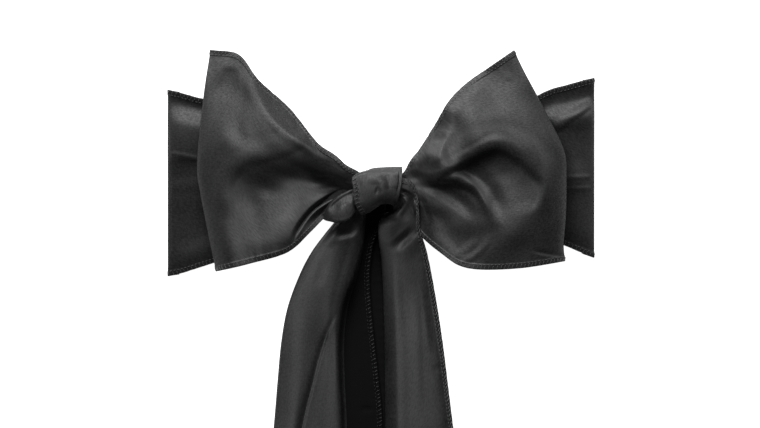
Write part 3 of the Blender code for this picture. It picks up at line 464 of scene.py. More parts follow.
# The lobe: a flattened roll of cloth. Each row is a ring across it, from inside the knot to its tip.
LobeRing = namedtuple("LobeRing", "x y z half_width half_depth")
LOBE = [
    LobeRing(-18.5, -5.5, 27.5, 6.5, 2.2),
    LobeRing(-22.6, -8.5, 28.6, 10.2, 3.4),
    LobeRing(-28, -11.8, 28.8, 11.2, 4.0),
    LobeRing(-34, -13.8, 28.2, 10.2, 4.0),
    LobeRing(-39.5, -15.6, 27.2, 7.4, 3.4),
    LobeRing(-43, -17.8, 26.2, 4.4, 2.4),
    LobeRing(-44.8, -19.4, 25.4, 1.8, 1.2),
]
LOBE_FOLDS = [
    Fold("groove", -2.2, 7, 3.0, 1.9, (0.1, 0.35), [(-20, 0), (-29, -4.5), (-36, -10), (-42, -17)]),
    Fold("pinch", -0.8, 5, 5, 2, (0.4, 0.3), [(-31, -8), (-26, -12), (-21, -20)]),
    Fold("foot", 0.5, 3, 3, 2, (0.3, 0.3), [(-43, -20), (-34, -23), (-24, -21), (-18, -17)]),
]


def cubic(points, knots, t):
    """Points on a smooth curve through the given ones, at each t. The curve is a cubic between
    neighbours, and its slope at each point comes from the points on its two sides."""
    slope = np.gradient(points, knots, axis=0)
    i = np.clip(np.searchsorted(knots, t, side="right") - 1, 0, len(knots) - 2)
    span = (knots[i + 1] - knots[i])[:, None]
    u = (t - knots[i])[:, None] / span
    return (
        (2 * u**3 - 3 * u**2 + 1) * points[i]
        + (u**3 - 2 * u**2 + u) * span * slope[i]
        + (3 * u**2 - 2 * u**3) * points[i + 1]
        + (u**3 - u**2) * span * slope[i + 1]
    )


def smooth(points, t):
    """The curve through a row of points or values that are evenly spaced in t, from 0 to 1."""
    points = np.asarray(points, float).reshape(len(points), -1)
    return cubic(points, np.linspace(0, 1, len(points)), t)


def spaced(steps):
    """Knots from 0 to 1 whose spacing goes with the square root of the given distances."""
    return np.concatenate([[0.0], np.cumsum(np.sqrt(steps))]) / np.sqrt(steps).sum()


def even(points, t):
    """The curve through points, read at even steps of its length."""
    points = np.asarray(points, float)
    knots = spaced(np.linalg.norm(np.diff(points, axis=0), axis=1))
    fine = cubic(points, knots, np.linspace(0, 1, CURVE_STEPS))
    run = np.concatenate([[0.0], np.cumsum(np.linalg.norm(np.diff(fine, axis=0), axis=1))])
    return np.stack([np.interp(t * run[-1], run, column) for column in fine.T], axis=-1)


def ease(x):
    """0 below 0, 1 above 1, and a smooth step between."""
    x = np.clip(x, 0, 1)
    return x * x * (3 - 2 * x)


def press(sheet, fold, mask):
    """Adds one fold to a sheet: the height falls from the path to the half-width as
    (1 - q ** crest) ** 2, where q is the distance over that half-width. mask says where."""
    path = even(fold.path, np.linspace(0, 1, PATH_STEPS))
    start, run = path[:-1], np.diff(path, axis=0)
    flat = sheet[..., :2].reshape(-1, 1, 2)
    along = np.clip(((flat - start) * run).sum(-1) / (run**2).sum(-1), 0, 1)
    offset = flat - (start + along[..., None] * run)
    distance = np.linalg.norm(offset, axis=-1)
    nearest = distance.argmin(axis=1)
    row = np.arange(len(nearest))
    off = offset[row, nearest]
    way = run[nearest] / np.linalg.norm(run[nearest], axis=1)[:, None]
    side = way[:, 0] * off[:, 1] - way[:, 1] * off[:, 0]
    half_width = np.where(side > 0, fold.left, fold.right)
    q = np.clip(distance[row, nearest] / half_width, 0, 1)
    share = (nearest + along[row, nearest]) / len(run)
    rise, fall = fold.fade
    strength = (1 - q**fold.crest) ** 2 * ease(share / rise) * ease((1 - share) / fall)
    strength = strength.reshape(sheet.shape[:-1]) * mask
    moved = sheet.copy()
    moved[..., 2] += fold.height * strength
    return moved


def press_all(sheet, folds, mask):
    """Adds the folds to a sheet, one after another."""
    for fold in folds:
        sheet = press(sheet, fold, mask)
    return sheet


def coons(lower, upper, start, end, s, t):
    """The patch between four edges: s runs from start to end, and t from lower to upper."""
    low, high = even(lower, s)[:, None], even(upper, s)[:, None]
    first, last = even(start, t)[None], even(end, t)[None]
    s, t = s[:, None, None], t[None, :, None]
    lower, upper = np.asarray(lower, float), np.asarray(upper, float)
    corners = (1 - s) * (1 - t) * lower[0] + (1 - s) * t * upper[0]
    corners = corners + s * (1 - t) * lower[-1] + s * t * upper[-1]
    return (1 - t) * low + t * high + (1 - s) * first + s * last - corners


def face_up(sheet):
    """The sheet with its columns turned round where its normals would point down: where X falls
    from its first row to its widest one."""
    return sheet[:, ::-1] if sheet[..., 0].min() < -sheet[..., 0].max() else sheet


def loop_sheet(loop):
    """The middle of a loop's cloth: out along the front layer, round the outer fold and back along
    the back layer, at least LAYER_GAP below it. Seen from above both layers fill the same patch,
    with s = 0 in the knot and s = 1 on the outer fold, and rows and columns are closer together
    near the outer fold and the hems. The front layer's height is the smooth surface through its
    lines, and at the fold half of the height between the layers shrinks as (1 - s ** p) ** 0.5,
    with p such that the fold is round."""
    front_rows, back_rows, columns = LOOP_GRID
    w = np.linspace(0, 1, front_rows)
    outward = 1 - (1 - w + ROW_SWELL * np.sin(math.pi * w)) ** ROW_POWER
    inward = (1 + np.cos(np.linspace(0, math.pi, back_rows)[1:])) / 2
    v = np.linspace(0, 1, columns)
    s = np.concatenate([outward, inward])
    t = v - COLUMN_CROWDING * np.sin(2 * math.pi * v) / (2 * math.pi)
    side = np.where(np.arange(len(s)) < front_rows, 1, -1)[:, None]
    plan = coons(loop.lower_hem, loop.upper_hem, loop.neck, loop.outer_fold, s, t)
    lines = np.stack([smooth(line.heights, s)[:, 0] for line in loop.lines])
    heights = smooth(lines, t).T
    sheet = press_all(np.dstack([plan, heights]), loop.folds, side > 0)

    s = s[:, None]
    out = ease(s / NECK_SHARE)
    droop = CORNER_DROOP * s**2 * ease((np.abs(2 * t - 1) - DROOP_FROM) / (1 - DROOP_FROM))
    back = smooth(loop.back, s[:, 0]) * out + loop.neck_back * (1 - out) - droop
    height = sheet[..., 2] * out + loop.neck_front * (1 - out)
    half = np.maximum(height - back, LAYER_GAP) / 2
    reach = np.linalg.norm(plan[front_rows - 1] - plan[0], axis=-1)
    power = 2 * reach / half[front_rows - 1]
    sheet[..., 2] = back + half + side * half * np.sqrt(1 - s**power)
    return face_up(sheet)


def line_sheet(lines, rows, columns):
    """A sheet through lines of points, with its rows along the lines and its columns from the
    first line to the last, closer together where the lines are."""
    lines = np.stack([smooth(line, np.linspace(0, 1, rows)) for line in lines])
    knots = spaced(np.linalg.norm(np.diff(lines, axis=0), axis=-1).mean(axis=1))
    sheet = cubic(lines.reshape(len(lines), -1), knots, np.linspace(0, 1, columns))
    return np.moveaxis(sheet.reshape(columns, rows, 3), 0, 1)


def band_lines(band, hems, side):
    """A near run's lines as points, on the side where X has that sign."""
    low, high = np.array(hems["lower"], float), np.array(hems["upper"], float)
    x = side * np.array(BAND_PLACES, float)
    return [np.stack([x, low + line.share * (high - low), line.heights], axis=1) for line in band]


def band_sheet(band, hems, side, folds):
    """A near run: the sheet through its lines, with its folds pressed in above the side fold."""
    rows, columns = BAND_GRID
    sheet = line_sheet(band_lines(band, hems, side), rows, columns)
    above = np.arange(rows)[:, None] < rows * SIDE_FOLD_SHARE
    return face_up(press_all(sheet, folds, above))


def tail_sheet(tail, folds, front_from, grid):
    """A tail: the sheet through its lines. The folds go into its front layer alone, which is the
    share of the columns after front_from."""
    rows, columns = grid
    sheet = line_sheet([line.points for line in tail], rows, columns)
    front = ease((np.linspace(0, 1, columns)[None, :] - front_from) / FRONT_EASE)
    return press_all(sheet, folds, front)


def far_run_top():
    """The hidden run's top: it lies inside the near run's outline, and rises under it by
    FAR_RUN_RISE of the near run's height over its hem."""
    rows, columns = FAR_RUN_GRID
    halves = []
    for band, hems, side in ((LEFT_BAND, LEFT_BAND_HEMS, -1), (RIGHT_BAND, RIGHT_BAND_HEMS, 1)):
        lines = [line[:FAR_RUN_PLACES] for line in band_lines(band, hems, side)]
        half = line_sheet(lines, rows, columns)
        half[-1, :, 0] = side * FAR_RUN_HALF_SPAN
        half[:, 0, 1] += FAR_RUN_INSET
        half[:, -1, 1] -= FAR_RUN_INSET
        half[..., 2] = FAR_RUN_RIM + FAR_RUN_RISE * np.clip(half[..., 2] - NEAR_RUN_HEM, 0, None)
        half[:, (0, -1), 2] = FAR_RUN_RIM
        half[-1, :, 2] = FAR_RUN_RIM
        halves.append(half)
    return np.concatenate([halves[0][::-1], halves[1]])


def knot_sheet():
    """The wrap: an oval ring about the X axis. Its height goes with the sine of the angle round
    the ring, and its place between the lower and upper edges with the cosine."""
    along, around = KNOT_GRID
    angle = np.linspace(0, 2 * math.pi, around, endpoint=False)
    t, u = (1 - np.cos(angle)) / 2, np.linspace(0, 1, along)
    front = coons(KNOT_LOWER, KNOT_UPPER, KNOT_LEFT_FRONT, KNOT_RIGHT_FRONT, u, t)
    back = coons(KNOT_LOWER, KNOT_UPPER, KNOT_LEFT_BACK, KNOT_RIGHT_BACK, u, t)
    over = (np.sin(angle) >= 0)[None, :, None]
    sheet = np.zeros((along, around, 3))
    sheet[..., :2] = np.where(over, front, back)
    sheet[..., 2] = KNOT_MIDDLE + KNOT_HALF_DEPTH * np.sin(angle)
    return press_all(sheet, KNOT_FOLDS, over[..., 0])


def lobe_sheet():
    """The lobe: flattened rings across X whose sizes run smoothly from row to row of LOBE."""
    along, around = LOBE_GRID
    rings = smooth(LOBE, np.linspace(0, 1, along))
    angle = np.linspace(0, 2 * math.pi, around, endpoint=False)
    x, y, z, half_width, half_depth = (column[:, None] for column in rings.T)
    places = (x + 0 * angle, y + half_width * np.cos(angle), z + half_depth * np.sin(angle))
    return press_all(np.stack(places, axis=-1), LOBE_FOLDS, np.sin(angle) > 0)


def normals(sheet, ring):
    """The sheet's own normals, upwards on its front layer."""
    if ring:
        wrapped = np.concatenate([sheet[:, -1:], sheet, sheet[:, :1]], axis=1)
        down = np.gradient(wrapped, axis=0)[:, 1:-1]
        across = np.gradient(wrapped, axis=1)[:, 1:-1]
    else:
        down, across = np.gradient(sheet, axis=0), np.gradient(sheet, axis=1)
    normal = np.cross(down, across)
    return normal / np.linalg.norm(normal, axis=-1, keepdims=True)


def run_along(sheet, axis):
    """How far each point is from the grid's first row or column, along the surface."""
    steps = np.linalg.norm(np.diff(sheet, axis=axis), axis=-1)
    first = np.zeros_like(steps.take([0], axis=axis))
    return np.concatenate([first, steps.cumsum(axis=axis)], axis=axis)


def from_hems(sheet):
    """How far each point is from the nearer of the strip's two hems, which are the first and the
    last column."""
    run = run_along(sheet, 1)
    return np.minimum(run, run[:, -1:] - run)


def pucker(sheet, normal):
    """Draws the cloth up along the hems: the sum of PUCKER_WAVES, which fades out over
    PUCKER_REACH from the hem."""
    run = run_along(sheet, 0).mean(axis=1)[:, None]
    waves = sum(np.sin(run / wave.length + wave.phase) * wave.share for wave in PUCKER_WAVES)
    near = 1 - ease(from_hems(sheet) / PUCKER_REACH)
    return sheet + normal * (PUCKER * waves * near)[..., None]


def hem_thickness(distance):
    """The wall's thickness: CLOTH, and HEM_THICK within HEM_WIDTH of the edge, which is round over
    HEM_ROUNDING."""
    folded = 1 - ease((distance - HEM_WIDTH + HEM_STEP) / HEM_STEP)
    inward = np.clip(distance / HEM_ROUNDING, 0, 1)
    edge = np.sqrt(np.clip(1 - (1 - inward) ** 2, HEM_THINNEST, 1))
    return CLOTH + (HEM_THICK - CLOTH) * folded * edge


def grid_faces(rows, columns, ring):
    """Faces of a wall's two sides and its rims. Its points are the top grid's, then the under
    grid's."""
    index = np.arange(rows * columns).reshape(rows, columns)
    if ring:
        index = np.concatenate([index, index[:, :1]], axis=1)
    under = rows * columns
    corners = [index[:-1, :-1], index[1:, :-1], index[1:, 1:], index[:-1, 1:]]
    top = np.stack(corners, axis=-1).reshape(-1, 4)
    rims = [index[0], index[-1, ::-1]]
    if not ring:
        rims += [index[::-1, 0], index[:, -1]]
    walls = [np.stack([rim[:-1], rim[1:], rim[1:] + under, rim[:-1] + under], axis=-1) for rim in rims]
    return np.concatenate([top, top[:, ::-1] + under] + walls)


def add_mesh(name, points, faces, materials, along=None, across=None, reverse_shade_faces=None):
    """An object from points in millimetres. along and across, in millimetres too, are each
    point's place on the strip, kept in the UV map that the weave follows: U runs along it.
    reverse_shade_faces says which faces take the second material, the satin's matte reverse with
    its colour darkened as painted shade."""
    mesh = bpy.data.meshes.new(name)
    mesh.from_pydata((points * MM).tolist(), [], faces.tolist())
    mesh.shade_smooth()
    for material in materials:
        mesh.materials.append(material)
    if reverse_shade_faces is not None:
        mesh.polygons.foreach_set("material_index", reverse_shade_faces.astype(np.int32))
    if along is not None:
        loops = np.empty(len(mesh.loops), np.int32)
        mesh.loops.foreach_get("vertex_index", loops)
        uv = np.stack([along, across], axis=-1).reshape(-1, 2)[loops % along.size] * MM
        mesh.uv_layers.new(name="strip").data.foreach_set("uv", uv.ravel())
    thing = bpy.data.objects.new(name, mesh)
    bpy.context.scene.collection.objects.link(thing)
    return thing


def add_cloth(name, sheet, materials, ring=False, reverse_and_shade_from=1.0):
    """A shell of cloth on a sheet: each point moved half of the thickness to both sides. A sheet
    has its two hems, and a ring has none. The second material, the satin's matte reverse with its
    colour darkened as painted shade, is on the inner side, and on both sides past
    reverse_and_shade_from, a share of the columns. Returns the object, the sheet and its normals."""
    sheet = np.maximum(sheet, (-np.inf, -np.inf, CLOTH))
    normal = normals(sheet, ring)
    thickness = np.full(sheet.shape[:2], CLOTH)
    if not ring:
        sheet = pucker(sheet, normal)
        thickness = hem_thickness(from_hems(sheet))
    half = (thickness / 2)[..., None]
    sides = [sheet + normal * half, sheet - normal * half]
    points = np.concatenate([side.reshape(-1, 3) for side in sides])
    points[:, 2] = np.maximum(points[:, 2], 0)
    along, across = run_along(sheet, 0), run_along(sheet, 1)
    if ring:
        along, across = across, along
    rows, columns = sheet.shape[:2]
    faces = grid_faces(rows, columns, ring)
    cells_across = columns if ring else columns - 1
    cells = (rows - 1) * cells_across
    index = np.arange(len(faces))
    inner = (index >= cells) & (index < 2 * cells)
    reversed_and_shaded_outside = (index < cells) & (index % cells_across > reverse_and_shade_from * columns)
    thing = add_mesh(name, points, faces, materials, along, across, inner | reversed_and_shaded_outside)
    return thing, sheet, normal


def at_distance(sheet, normal, distance, last):
    """The points and normals at a distance from the first column, or the last, on each row."""
    if last:
        sheet, normal = sheet[:, ::-1], normal[:, ::-1]
    run = run_along(sheet, 1)
    after = np.clip((run < distance).sum(axis=1), 1, run.shape[1] - 1)
    row = np.arange(len(sheet))
    low, high = run[row, after - 1], run[row, after]
    share = ((distance - low) / np.maximum(high - low, TINY))[:, None]
    return (
        sheet[row, after - 1] * (1 - share) + sheet[row, after] * share,
        normal[row, after - 1] * (1 - share) + normal[row, after] * share,
    )


def along_line(points, normal, places):
    """The points and normals at the given lengths along a line of points."""
    run = run_along(points[:, None], 0)[:, 0]
    read = []
    for values in (points, normal):
        read.append(np.stack([np.interp(places, run, column) for column in values.T], axis=1))
    return read


def thread_points(start, end, start_normal, end_normal, raised):
    """Short threads from start to end, raised along the cloth's normals: each is a prism of
    THREAD_RINGS rings whose radius goes with (1 - (2 * u - 1) ** 2) ** 0.5, u being the share of
    its way."""
    u = np.linspace(0, 1, THREAD_RINGS)[None, :, None]
    way = end - start
    way = way / np.linalg.norm(way, axis=-1, keepdims=True)
    up = start_normal + end_normal
    up = up - way * (up * way).sum(-1, keepdims=True)
    up = up / np.linalg.norm(up, axis=-1, keepdims=True)
    across = np.cross(way, up)
    middle = start[:, None] * (1 - u) + end[:, None] * u
    middle = middle + (start_normal[:, None] * (1 - u) + end_normal[:, None] * u) * raised
    angle = np.linspace(0, 2 * math.pi, THREAD_SIDES, endpoint=False) + math.pi / THREAD_SIDES
    radius = THREAD_RADIUS * np.sqrt(np.clip(1 - (2 * u - 1) ** 2, THREAD_THINNEST, 1))
    ring = (
        across[:, None, None] * np.cos(angle)[None, None, :, None]
        + up[:, None, None] * np.sin(angle)[None, None, :, None]
    )
    return (middle[:, :, None] + ring * radius[..., None]).reshape(len(start), -1, 3)


def thread_faces(count):
    """Faces of that many threads: the rings' sides and the two end caps."""
    index = np.arange(THREAD_RINGS * THREAD_SIDES).reshape(THREAD_RINGS, THREAD_SIDES)
    turned = np.roll(index, -1, axis=1)
    sides = np.stack([index[:-1], turned[:-1], turned[1:], index[1:]], axis=-1).reshape(-1, 4)
    caps = np.array([index[0][::-1], index[-1]])
    one = np.concatenate([sides, caps])
    return (one[None] + np.arange(count)[:, None, None] * index.size).reshape(-1, 4)


def hem_threads(sheet, normal, last):
    """The threads of one hem: slanted ones over its edge, and a needle line behind them."""
    edge, edge_up = at_distance(sheet, normal, 0.0, last)
    reach, reach_up = at_distance(sheet, normal, OVERLOCK_REACH, last)
    line, line_up = at_distance(sheet, normal, NEEDLE_FROM_EDGE, last)
    length = run_along(edge[:, None], 0)[-1, 0]

    places = np.arange(OVERLOCK_START, length - OVERLOCK_SLANT, OVERLOCK_PITCH)
    places = places + OVERLOCK_WANDER * np.sin(places * OVERLOCK_WANDER_RATE)
    scale = length / run_along(reach[:, None], 0)[-1, 0]
    start, start_up = along_line(edge, edge_up, places)
    end, end_up = along_line(reach, reach_up, (places + OVERLOCK_SLANT) / scale)
    start = start - start_up * THREAD_SINK
    end = end + end_up * THREAD_LIFT
    slanted = thread_points(start, end, start_up, end_up, OVERLOCK_RAISED)

    scale = length / run_along(line[:, None], 0)[-1, 0]
    places = np.arange(NEEDLE_START, length - NEEDLE_LENGTH, NEEDLE_PITCH)
    start, start_up = along_line(line, line_up, places / scale)
    end, end_up = along_line(line, line_up, (places + NEEDLE_LENGTH) / scale)
    lift = THREAD_LIFT - NEEDLE_SINK
    start = start + start_up * lift
    end = end + end_up * lift
    running = thread_points(start, end, start_up, end_up, NEEDLE_RAISED)
    return np.concatenate([slanted, running])


def add_threads(name, hems, material):
    """One object for the threads of several hems, each given as a sheet, its normals and whether
    the hem is its last column."""
    points = np.concatenate([hem_threads(*hem) for hem in hems])
    points[..., 2] = np.maximum(points[..., 2], 0)
    return add_mesh(name, points.reshape(-1, 3), thread_faces(len(points)), [material])


# Dyes as linear colours, two of them darkened as painted shade, and how far below and above each its
# mottling goes, as a share of it.
SATIN_DYE = (0.016, 0.016, 0.0165)
SATIN_MOTTLING = 0.6
# The reverse's colour is darkened far below the face's: painted shade, for the strip that lies reverse up
# in the gap between the tails.
REVERSE_DYE_AND_PAINTED_SHADE = (0.0018, 0.0018, 0.0019)
REVERSE_MOTTLING = 0.3
THREAD_DYE = (0.075, 0.075, 0.077)
# A darker copy of the thread's colour: painted shade, for the left tail's stitches in the gap between the
# tails.
PAINTED_SHADE_THREAD_DYE = (0.007, 0.007, 0.0072)
THREAD_MOTTLING = 0.5

# The satin's gloss. Its roughness goes GRAIN_GLOSS above and below SATIN_ROUGHNESS with the grain,
# and its sheen is drawn out along the strip. GRAIN_DEPTH is in metres. The ranges are the parts of
# the noises' values that are used.
SATIN_ROUGHNESS = 0.575
SATIN_ANISOTROPY = 0.72
SATIN_SPECULAR = 0.5
GRAIN_GLOSS = 0.07
GRAIN_DEPTH = 0.00008
GRAIN_RANGE = (0.3, 0.7)
DYE_RANGE = (0.35, 0.65)
WEFT_SHARE = 0.6
WIDE_DYE_SHARE = 0.25
REVERSE_ROUGHNESS = 0.9
REVERSE_SPECULAR = 0.15
REVERSE_NAP_SCALE = 1500.0
THREAD_ROUGHNESS = 0.5
THREAD_PLY_SCALE = 900.0


def new_material(name):
    """A material, its nodes, its links and its Principled shader."""
    material = bpy.data.materials.new(name)
    material.use_nodes = True
    nodes, links = material.node_tree.nodes, material.node_tree.links
    return material, nodes, links, nodes["Principled BSDF"]


def strip_place(nodes):
    """The place on the strip, from the UV map that runs along it."""
    place = nodes.new("ShaderNodeUVMap")
    place.uv_map = "strip"
    return place.outputs["UV"]


def mottle(nodes, links, shader, dye, mottling, factor):
    """Makes the base colour go from mottling below the dye to mottling above it with the factor."""
    mix = nodes.new("ShaderNodeMix")
    mix.data_type = "RGBA"
    mix.inputs["A"].default_value = (*[c * (1 - mottling) for c in dye], 1)
    mix.inputs["B"].default_value = (*[c * (1 + mottling) for c in dye], 1)
    links.new(factor, mix.inputs["Factor"])
    links.new(mix.outputs["Result"], shader.inputs["Base Color"])


def map_range(nodes, links, value, source, target):
    """A value with its range, source, made to fill the range target."""
    node = nodes.new("ShaderNodeMapRange")
    for name, number in zip(("From Min", "From Max", "To Min", "To Max"), (*source, *target)):
        node.inputs[name].default_value = number
    links.new(value, node.inputs["Value"])
    return node.outputs["Result"]


def thread_grain_group():
    """Satin's fine grain. Two noises, each drawn out along one of the strip's directions, stand
    for its warp and its weft, and give Grain and Height. Dye is their sum and a share of a wide
    noise, for a dye that took unevenly."""
    group = bpy.data.node_groups.new("satin_grain", "ShaderNodeTree")
    face = group.interface
    face.new_socket("Vector", in_out="INPUT", socket_type="NodeSocketVector")
    for name, value in (("Thread Pitch", 0.0011), ("Thread Length", 0.0026), ("Dye Spots", 40.0)):
        face.new_socket(name, in_out="INPUT", socket_type="NodeSocketFloat").default_value = value
    for name in ("Grain", "Height", "Dye"):
        face.new_socket(name, in_out="OUTPUT", socket_type="NodeSocketFloat")
    nodes, links = group.nodes, group.links
    inside, outside = nodes.new("NodeGroupInput"), nodes.new("NodeGroupOutput")

    def math_node(operation, first, second):
        node = nodes.new("ShaderNodeMath")
        node.operation = operation
        for socket, value in zip(node.inputs, (first, second)):
            if isinstance(value, float):
                socket.default_value = value
            else:
                links.new(value, socket)
        return node.outputs[0]

    fine = math_node("DIVIDE", 1.0, inside.outputs["Thread Pitch"])
    coarse = math_node("DIVIDE", 1.0, inside.outputs["Thread Length"])
    grains = []
    for first, second in ((fine, coarse), (coarse, fine)):
        scale = nodes.new("ShaderNodeCombineXYZ")
        links.new(first, scale.inputs[0])
        links.new(second, scale.inputs[1])
        stretch = nodes.new("ShaderNodeVectorMath")
        stretch.operation = "MULTIPLY"
        links.new(inside.outputs["Vector"], stretch.inputs[0])
        links.new(scale.outputs[0], stretch.inputs[1])
        noise = nodes.new("ShaderNodeTexNoise")
        noise.noise_dimensions = "2D"
        noise.inputs["Scale"].default_value = 1.0
        noise.inputs["Detail"].default_value = 2.0
        links.new(stretch.outputs[0], noise.inputs["Vector"])
        grains.append(noise.outputs["Fac"])
    warp = math_node("MULTIPLY", grains[0], 1 - WEFT_SHARE)
    weft = math_node("MULTIPLY", grains[1], WEFT_SHARE)
    grain = math_node("ADD", warp, weft)
    links.new(grain, outside.inputs["Grain"])
    links.new(grain, outside.inputs["Height"])
    spots = nodes.new("ShaderNodeTexNoise")
    spots.noise_dimensions = "2D"
    spots.inputs["Detail"].default_value = 3.0
    links.new(inside.outputs["Vector"], spots.inputs["Vector"])
    links.new(inside.outputs["Dye Spots"], spots.inputs["Scale"])
    close = math_node("MULTIPLY", grain, 1 - WIDE_DYE_SHARE)
    wide = math_node("MULTIPLY", spots.outputs["Fac"], WIDE_DYE_SHARE)
    links.new(math_node("ADD", close, wide), outside.inputs["Dye"])
    return group


def satin_material(grain_group):
    """Charcoal satin: a dark dye that is a little uneven, a broad soft sheen, and a fine grain."""
    material, nodes, links, shader = new_material("charcoal_satin")
    grain = nodes.new("ShaderNodeGroup")
    grain.node_tree = grain_group
    links.new(strip_place(nodes), grain.inputs["Vector"])
    dye = map_range(nodes, links, grain.outputs["Dye"], DYE_RANGE, (0, 1))
    mottle(nodes, links, shader, SATIN_DYE, SATIN_MOTTLING, dye)
    gloss = (SATIN_ROUGHNESS + GRAIN_GLOSS, SATIN_ROUGHNESS - GRAIN_GLOSS)
    rough = map_range(nodes, links, grain.outputs["Grain"], GRAIN_RANGE, gloss)
    links.new(rough, shader.inputs["Roughness"])

    relief = nodes.new("ShaderNodeBump")
    relief.inputs["Strength"].default_value = 1.0
    relief.inputs["Distance"].default_value = GRAIN_DEPTH
    links.new(grain.outputs["Height"], relief.inputs["Height"])
    links.new(relief.outputs["Normal"], shader.inputs["Normal"])
    shader.inputs["Specular IOR Level"].default_value = SATIN_SPECULAR
    shader.inputs["Anisotropic"].default_value = SATIN_ANISOTROPY
    tangent = nodes.new("ShaderNodeTangent")
    tangent.direction_type = "UV_MAP"
    tangent.uv_map = "strip"
    links.new(tangent.outputs["Tangent"], shader.inputs["Tangent"])
    return material


def reverse_and_painted_shade_material():
    """Satin's reverse: matte, and its colour darkened far below its face's as painted shade."""
    material, nodes, links, shader = new_material("satin_reverse_painted_shade")
    nap = nodes.new("ShaderNodeTexNoise")
    nap.inputs["Scale"].default_value = REVERSE_NAP_SCALE
    links.new(strip_place(nodes), nap.inputs["Vector"])
    mottle(nodes, links, shader, REVERSE_DYE_AND_PAINTED_SHADE, REVERSE_MOTTLING, nap.outputs["Fac"])
    shader.inputs["Roughness"].default_value = REVERSE_ROUGHNESS
    shader.inputs["Specular IOR Level"].default_value = REVERSE_SPECULAR
    return material


def thread_material(name, dye):
    """The hems' polyester thread."""
    material, nodes, links, shader = new_material(name)
    place = nodes.new("ShaderNodeTexCoord")
    ply = nodes.new("ShaderNodeTexNoise")
    ply.inputs["Scale"].default_value = THREAD_PLY_SCALE
    links.new(place.outputs["Object"], ply.inputs["Vector"])
    mottle(nodes, links, shader, dye, THREAD_MOTTLING, ply.outputs["Fac"])
    shader.inputs["Roughness"].default_value = THREAD_ROUGHNESS
    return material


# The white surface, in millimetres, and its own glow, which keeps it white in the sash's shade.
FLOOR_HALF = 6000.0
FLOOR_Z = -0.3
FLOOR_WHITE = 0.9
FLOOR_ROUGHNESS = 0.9
FLOOR_GLOW = 1.0


def lay_floor():
    """A plain white surface under the sash."""
    material, _, _, shader = new_material("white_surface")
    shader.inputs["Base Color"].default_value = (FLOOR_WHITE, FLOOR_WHITE, FLOOR_WHITE, 1)
    shader.inputs["Roughness"].default_value = FLOOR_ROUGHNESS
    shader.inputs["Emission Color"].default_value = (1, 1, 1, 1)
    shader.inputs["Emission Strength"].default_value = FLOOR_GLOW
    turns = ((-1, -1), (1, -1), (1, 1), (-1, 1))
    points = np.array([(x * FLOOR_HALF, y * FLOOR_HALF, FLOOR_Z) for x, y in turns])
    add_mesh("white_surface", points, np.array([[0, 1, 2, 3]]), [material])


# Soft lights: where each stands and its width and height, in metres, and its power in watts.
Softbox = namedtuple("Softbox", "name place width height power")
SOFTBOXES = [
    Softbox("key", (-0.41, 1.75, 1.37), 1.8, 1.2, 78),
]
WORLD_STRENGTH = 0.093

# The camera looks straight down. Its lens makes a pixel PIXEL_WIDTH wide at CAMERA_FOCUS_HEIGHT.
# Metres, but for the sensor's millimetres.
CAMERA_DISTANCE = 2.2
CAMERA_FOCUS_HEIGHT = 0.025
CAMERA_CENTRE = (-0.0008, -0.0172)
PIXEL_WIDTH = 0.000781
VIEW_PIXELS = 760
SENSOR_WIDTH = 36.0


def light_scene():
    """The softboxes, a dim surround and the plain view transform."""
    world = bpy.data.worlds.new("surround")
    world.use_nodes = True
    world.node_tree.nodes["Background"].inputs["Color"].default_value = (1, 1, 1, 1)
    world.node_tree.nodes["Background"].inputs["Strength"].default_value = WORLD_STRENGTH
    bpy.context.scene.world = world
    bpy.context.scene.view_settings.view_transform = "Standard"
    for box in SOFTBOXES:
        light = bpy.data.lights.new(box.name, "AREA")
        light.shape = "RECTANGLE"
        light.size, light.size_y, light.energy = box.width, box.height, box.power
        lamp = bpy.data.objects.new(box.name, light)
        lamp.location = box.place
        aim = -lamp.location
        lamp.rotation_euler = aim.to_track_quat("-Z", "Y").to_euler()
        bpy.context.scene.collection.objects.link(lamp)


def set_camera():
    """The camera straight above the sash."""
    data = bpy.data.cameras.new("camera")
    data.sensor_width = SENSOR_WIDTH
    data.lens = SENSOR_WIDTH * CAMERA_DISTANCE / (VIEW_PIXELS * PIXEL_WIDTH)
    camera = bpy.data.objects.new("camera", data)
    camera.location = (*CAMERA_CENTRE, CAMERA_DISTANCE + CAMERA_FOCUS_HEIGHT)
    bpy.context.scene.collection.objects.link(camera)
    bpy.context.scene.camera = camera


def stand_for(thing, node, threads=None):
    """The piece rides on the one body and stands for its node, and its threads ride with it."""
    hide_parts(node)
    for piece in (thing, threads):
        if piece is not None:
            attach(piece, "root")


def add_stretch(name, node, slot, sheet, satin, thread, reverse_and_shade_from=1.0, **cut):
    cloth, middle, up = add_cloth(name, sheet, satin, reverse_and_shade_from=reverse_and_shade_from)
    stitches = add_threads(f"{name}_threads", [(middle, up, False), (middle, up, True)], thread)
    stand_for(cloth, node, stitches)


def add_far_run(satin):
    """The hidden run of the band: one rounded solid between its top and the surface."""
    top = far_run_top()
    points = np.concatenate([top.reshape(-1, 3), (top * (1, 1, 0)).reshape(-1, 3)])
    faces = grid_faces(*top.shape[:2], False)
    run = add_mesh("far_run", points, faces, satin, run_along(top, 0), run_along(top, 1))
    stand_for(run, "band_under")


def add_knot(satin, thread):
    """The knot's wrap, with the stitches along its left rim."""
    wrap, middle, up = add_cloth("knot_wrap", knot_sheet(), satin, ring=True)
    rim = [np.swapaxes(grid[:, KNOT_STITCHED], 0, 1) for grid in (middle, up)]
    stitches = add_threads("knot_threads", [(*rim, False)], thread)
    stand_for(wrap, "knot", stitches)


def add_lobe(satin):
    """The lobe at the knot's lower left."""
    lobe, *_ = add_cloth("knot_pinch", lobe_sheet(), satin, ring=True)
    stand_for(lobe, "knot_lobe")


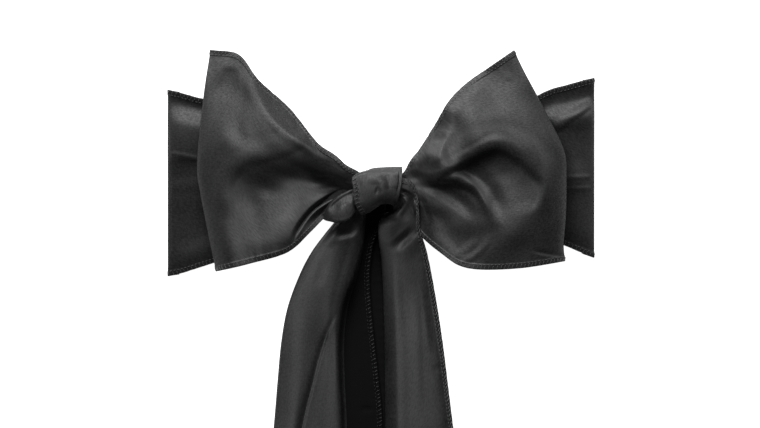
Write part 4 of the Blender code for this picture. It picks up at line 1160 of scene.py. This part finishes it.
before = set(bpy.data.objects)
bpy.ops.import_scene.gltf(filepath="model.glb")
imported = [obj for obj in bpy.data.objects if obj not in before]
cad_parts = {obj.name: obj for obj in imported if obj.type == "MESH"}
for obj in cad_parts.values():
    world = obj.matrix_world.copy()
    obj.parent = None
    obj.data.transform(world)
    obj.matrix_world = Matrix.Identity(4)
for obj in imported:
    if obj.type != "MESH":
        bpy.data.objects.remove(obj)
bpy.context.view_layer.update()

grain = thread_grain_group()
satin = [satin_material(grain), reverse_and_painted_shade_material()]
thread = thread_material("hem_thread", THREAD_DYE)
# The threads' darker copy is painted shade.
painted_shade_thread = thread_material("hem_thread_painted_shade", PAINTED_SHADE_THREAD_DYE)

left_run = band_sheet(LEFT_BAND, LEFT_BAND_HEMS, -1, LEFT_BAND_FOLDS)
right_run = band_sheet(RIGHT_BAND, RIGHT_BAND_HEMS, 1, RIGHT_BAND_FOLDS)
left_tail = tail_sheet(LEFT_TAIL, LEFT_TAIL_FOLDS, LEFT_FRONT_FROM, LEFT_TAIL_GRID)
right_tail = tail_sheet(RIGHT_TAIL, RIGHT_TAIL_FOLDS, RIGHT_FRONT_FROM, RIGHT_TAIL_GRID)
add_stretch(
    "near_run_left", "band_left", "band", left_run, satin, thread,
    flat=(0.17, 0.17), held="gathered", rests_on=["band_under"], area=0.018,
)
add_stretch(
    "near_run_right", "band_right", "band", right_run, satin, thread,
    flat=(0.17, 0.17), held="gathered", rests_on=["band_under"], area=0.018,
)
add_far_run(satin)
add_stretch(
    "left_loop", "loop_left", "loops", loop_sheet(LEFT_LOOP), satin, thread,
    flat=(0.17, 0.30), held="folded", rests_on=["near_run_left"], area=0.037,
)
add_stretch(
    "right_loop", "loop_right", "loops", loop_sheet(RIGHT_LOOP), satin, thread,
    flat=(0.17, 0.30), held="folded", rests_on=["near_run_right"], area=0.037,
)
add_knot(satin, thread)
add_lobe(satin)
# The left tail's strip in the gap and its stitches carry painted shade.
add_stretch(
    "left_tail", "tail_left", "tails", left_tail, satin, painted_shade_thread, LEFT_REVERSE_AND_SHADE_FROM,
    flat=(0.17, 0.55), held="folded", rests_on=["white_surface"], area=0.08,
)
add_stretch(
    "right_tail", "tail_right", "tails", right_tail, satin, thread,
    flat=(0.17, 0.55), held="folded", rests_on=["white_surface"], area=0.075,
)

lay_floor()
light_scene()
set_camera()
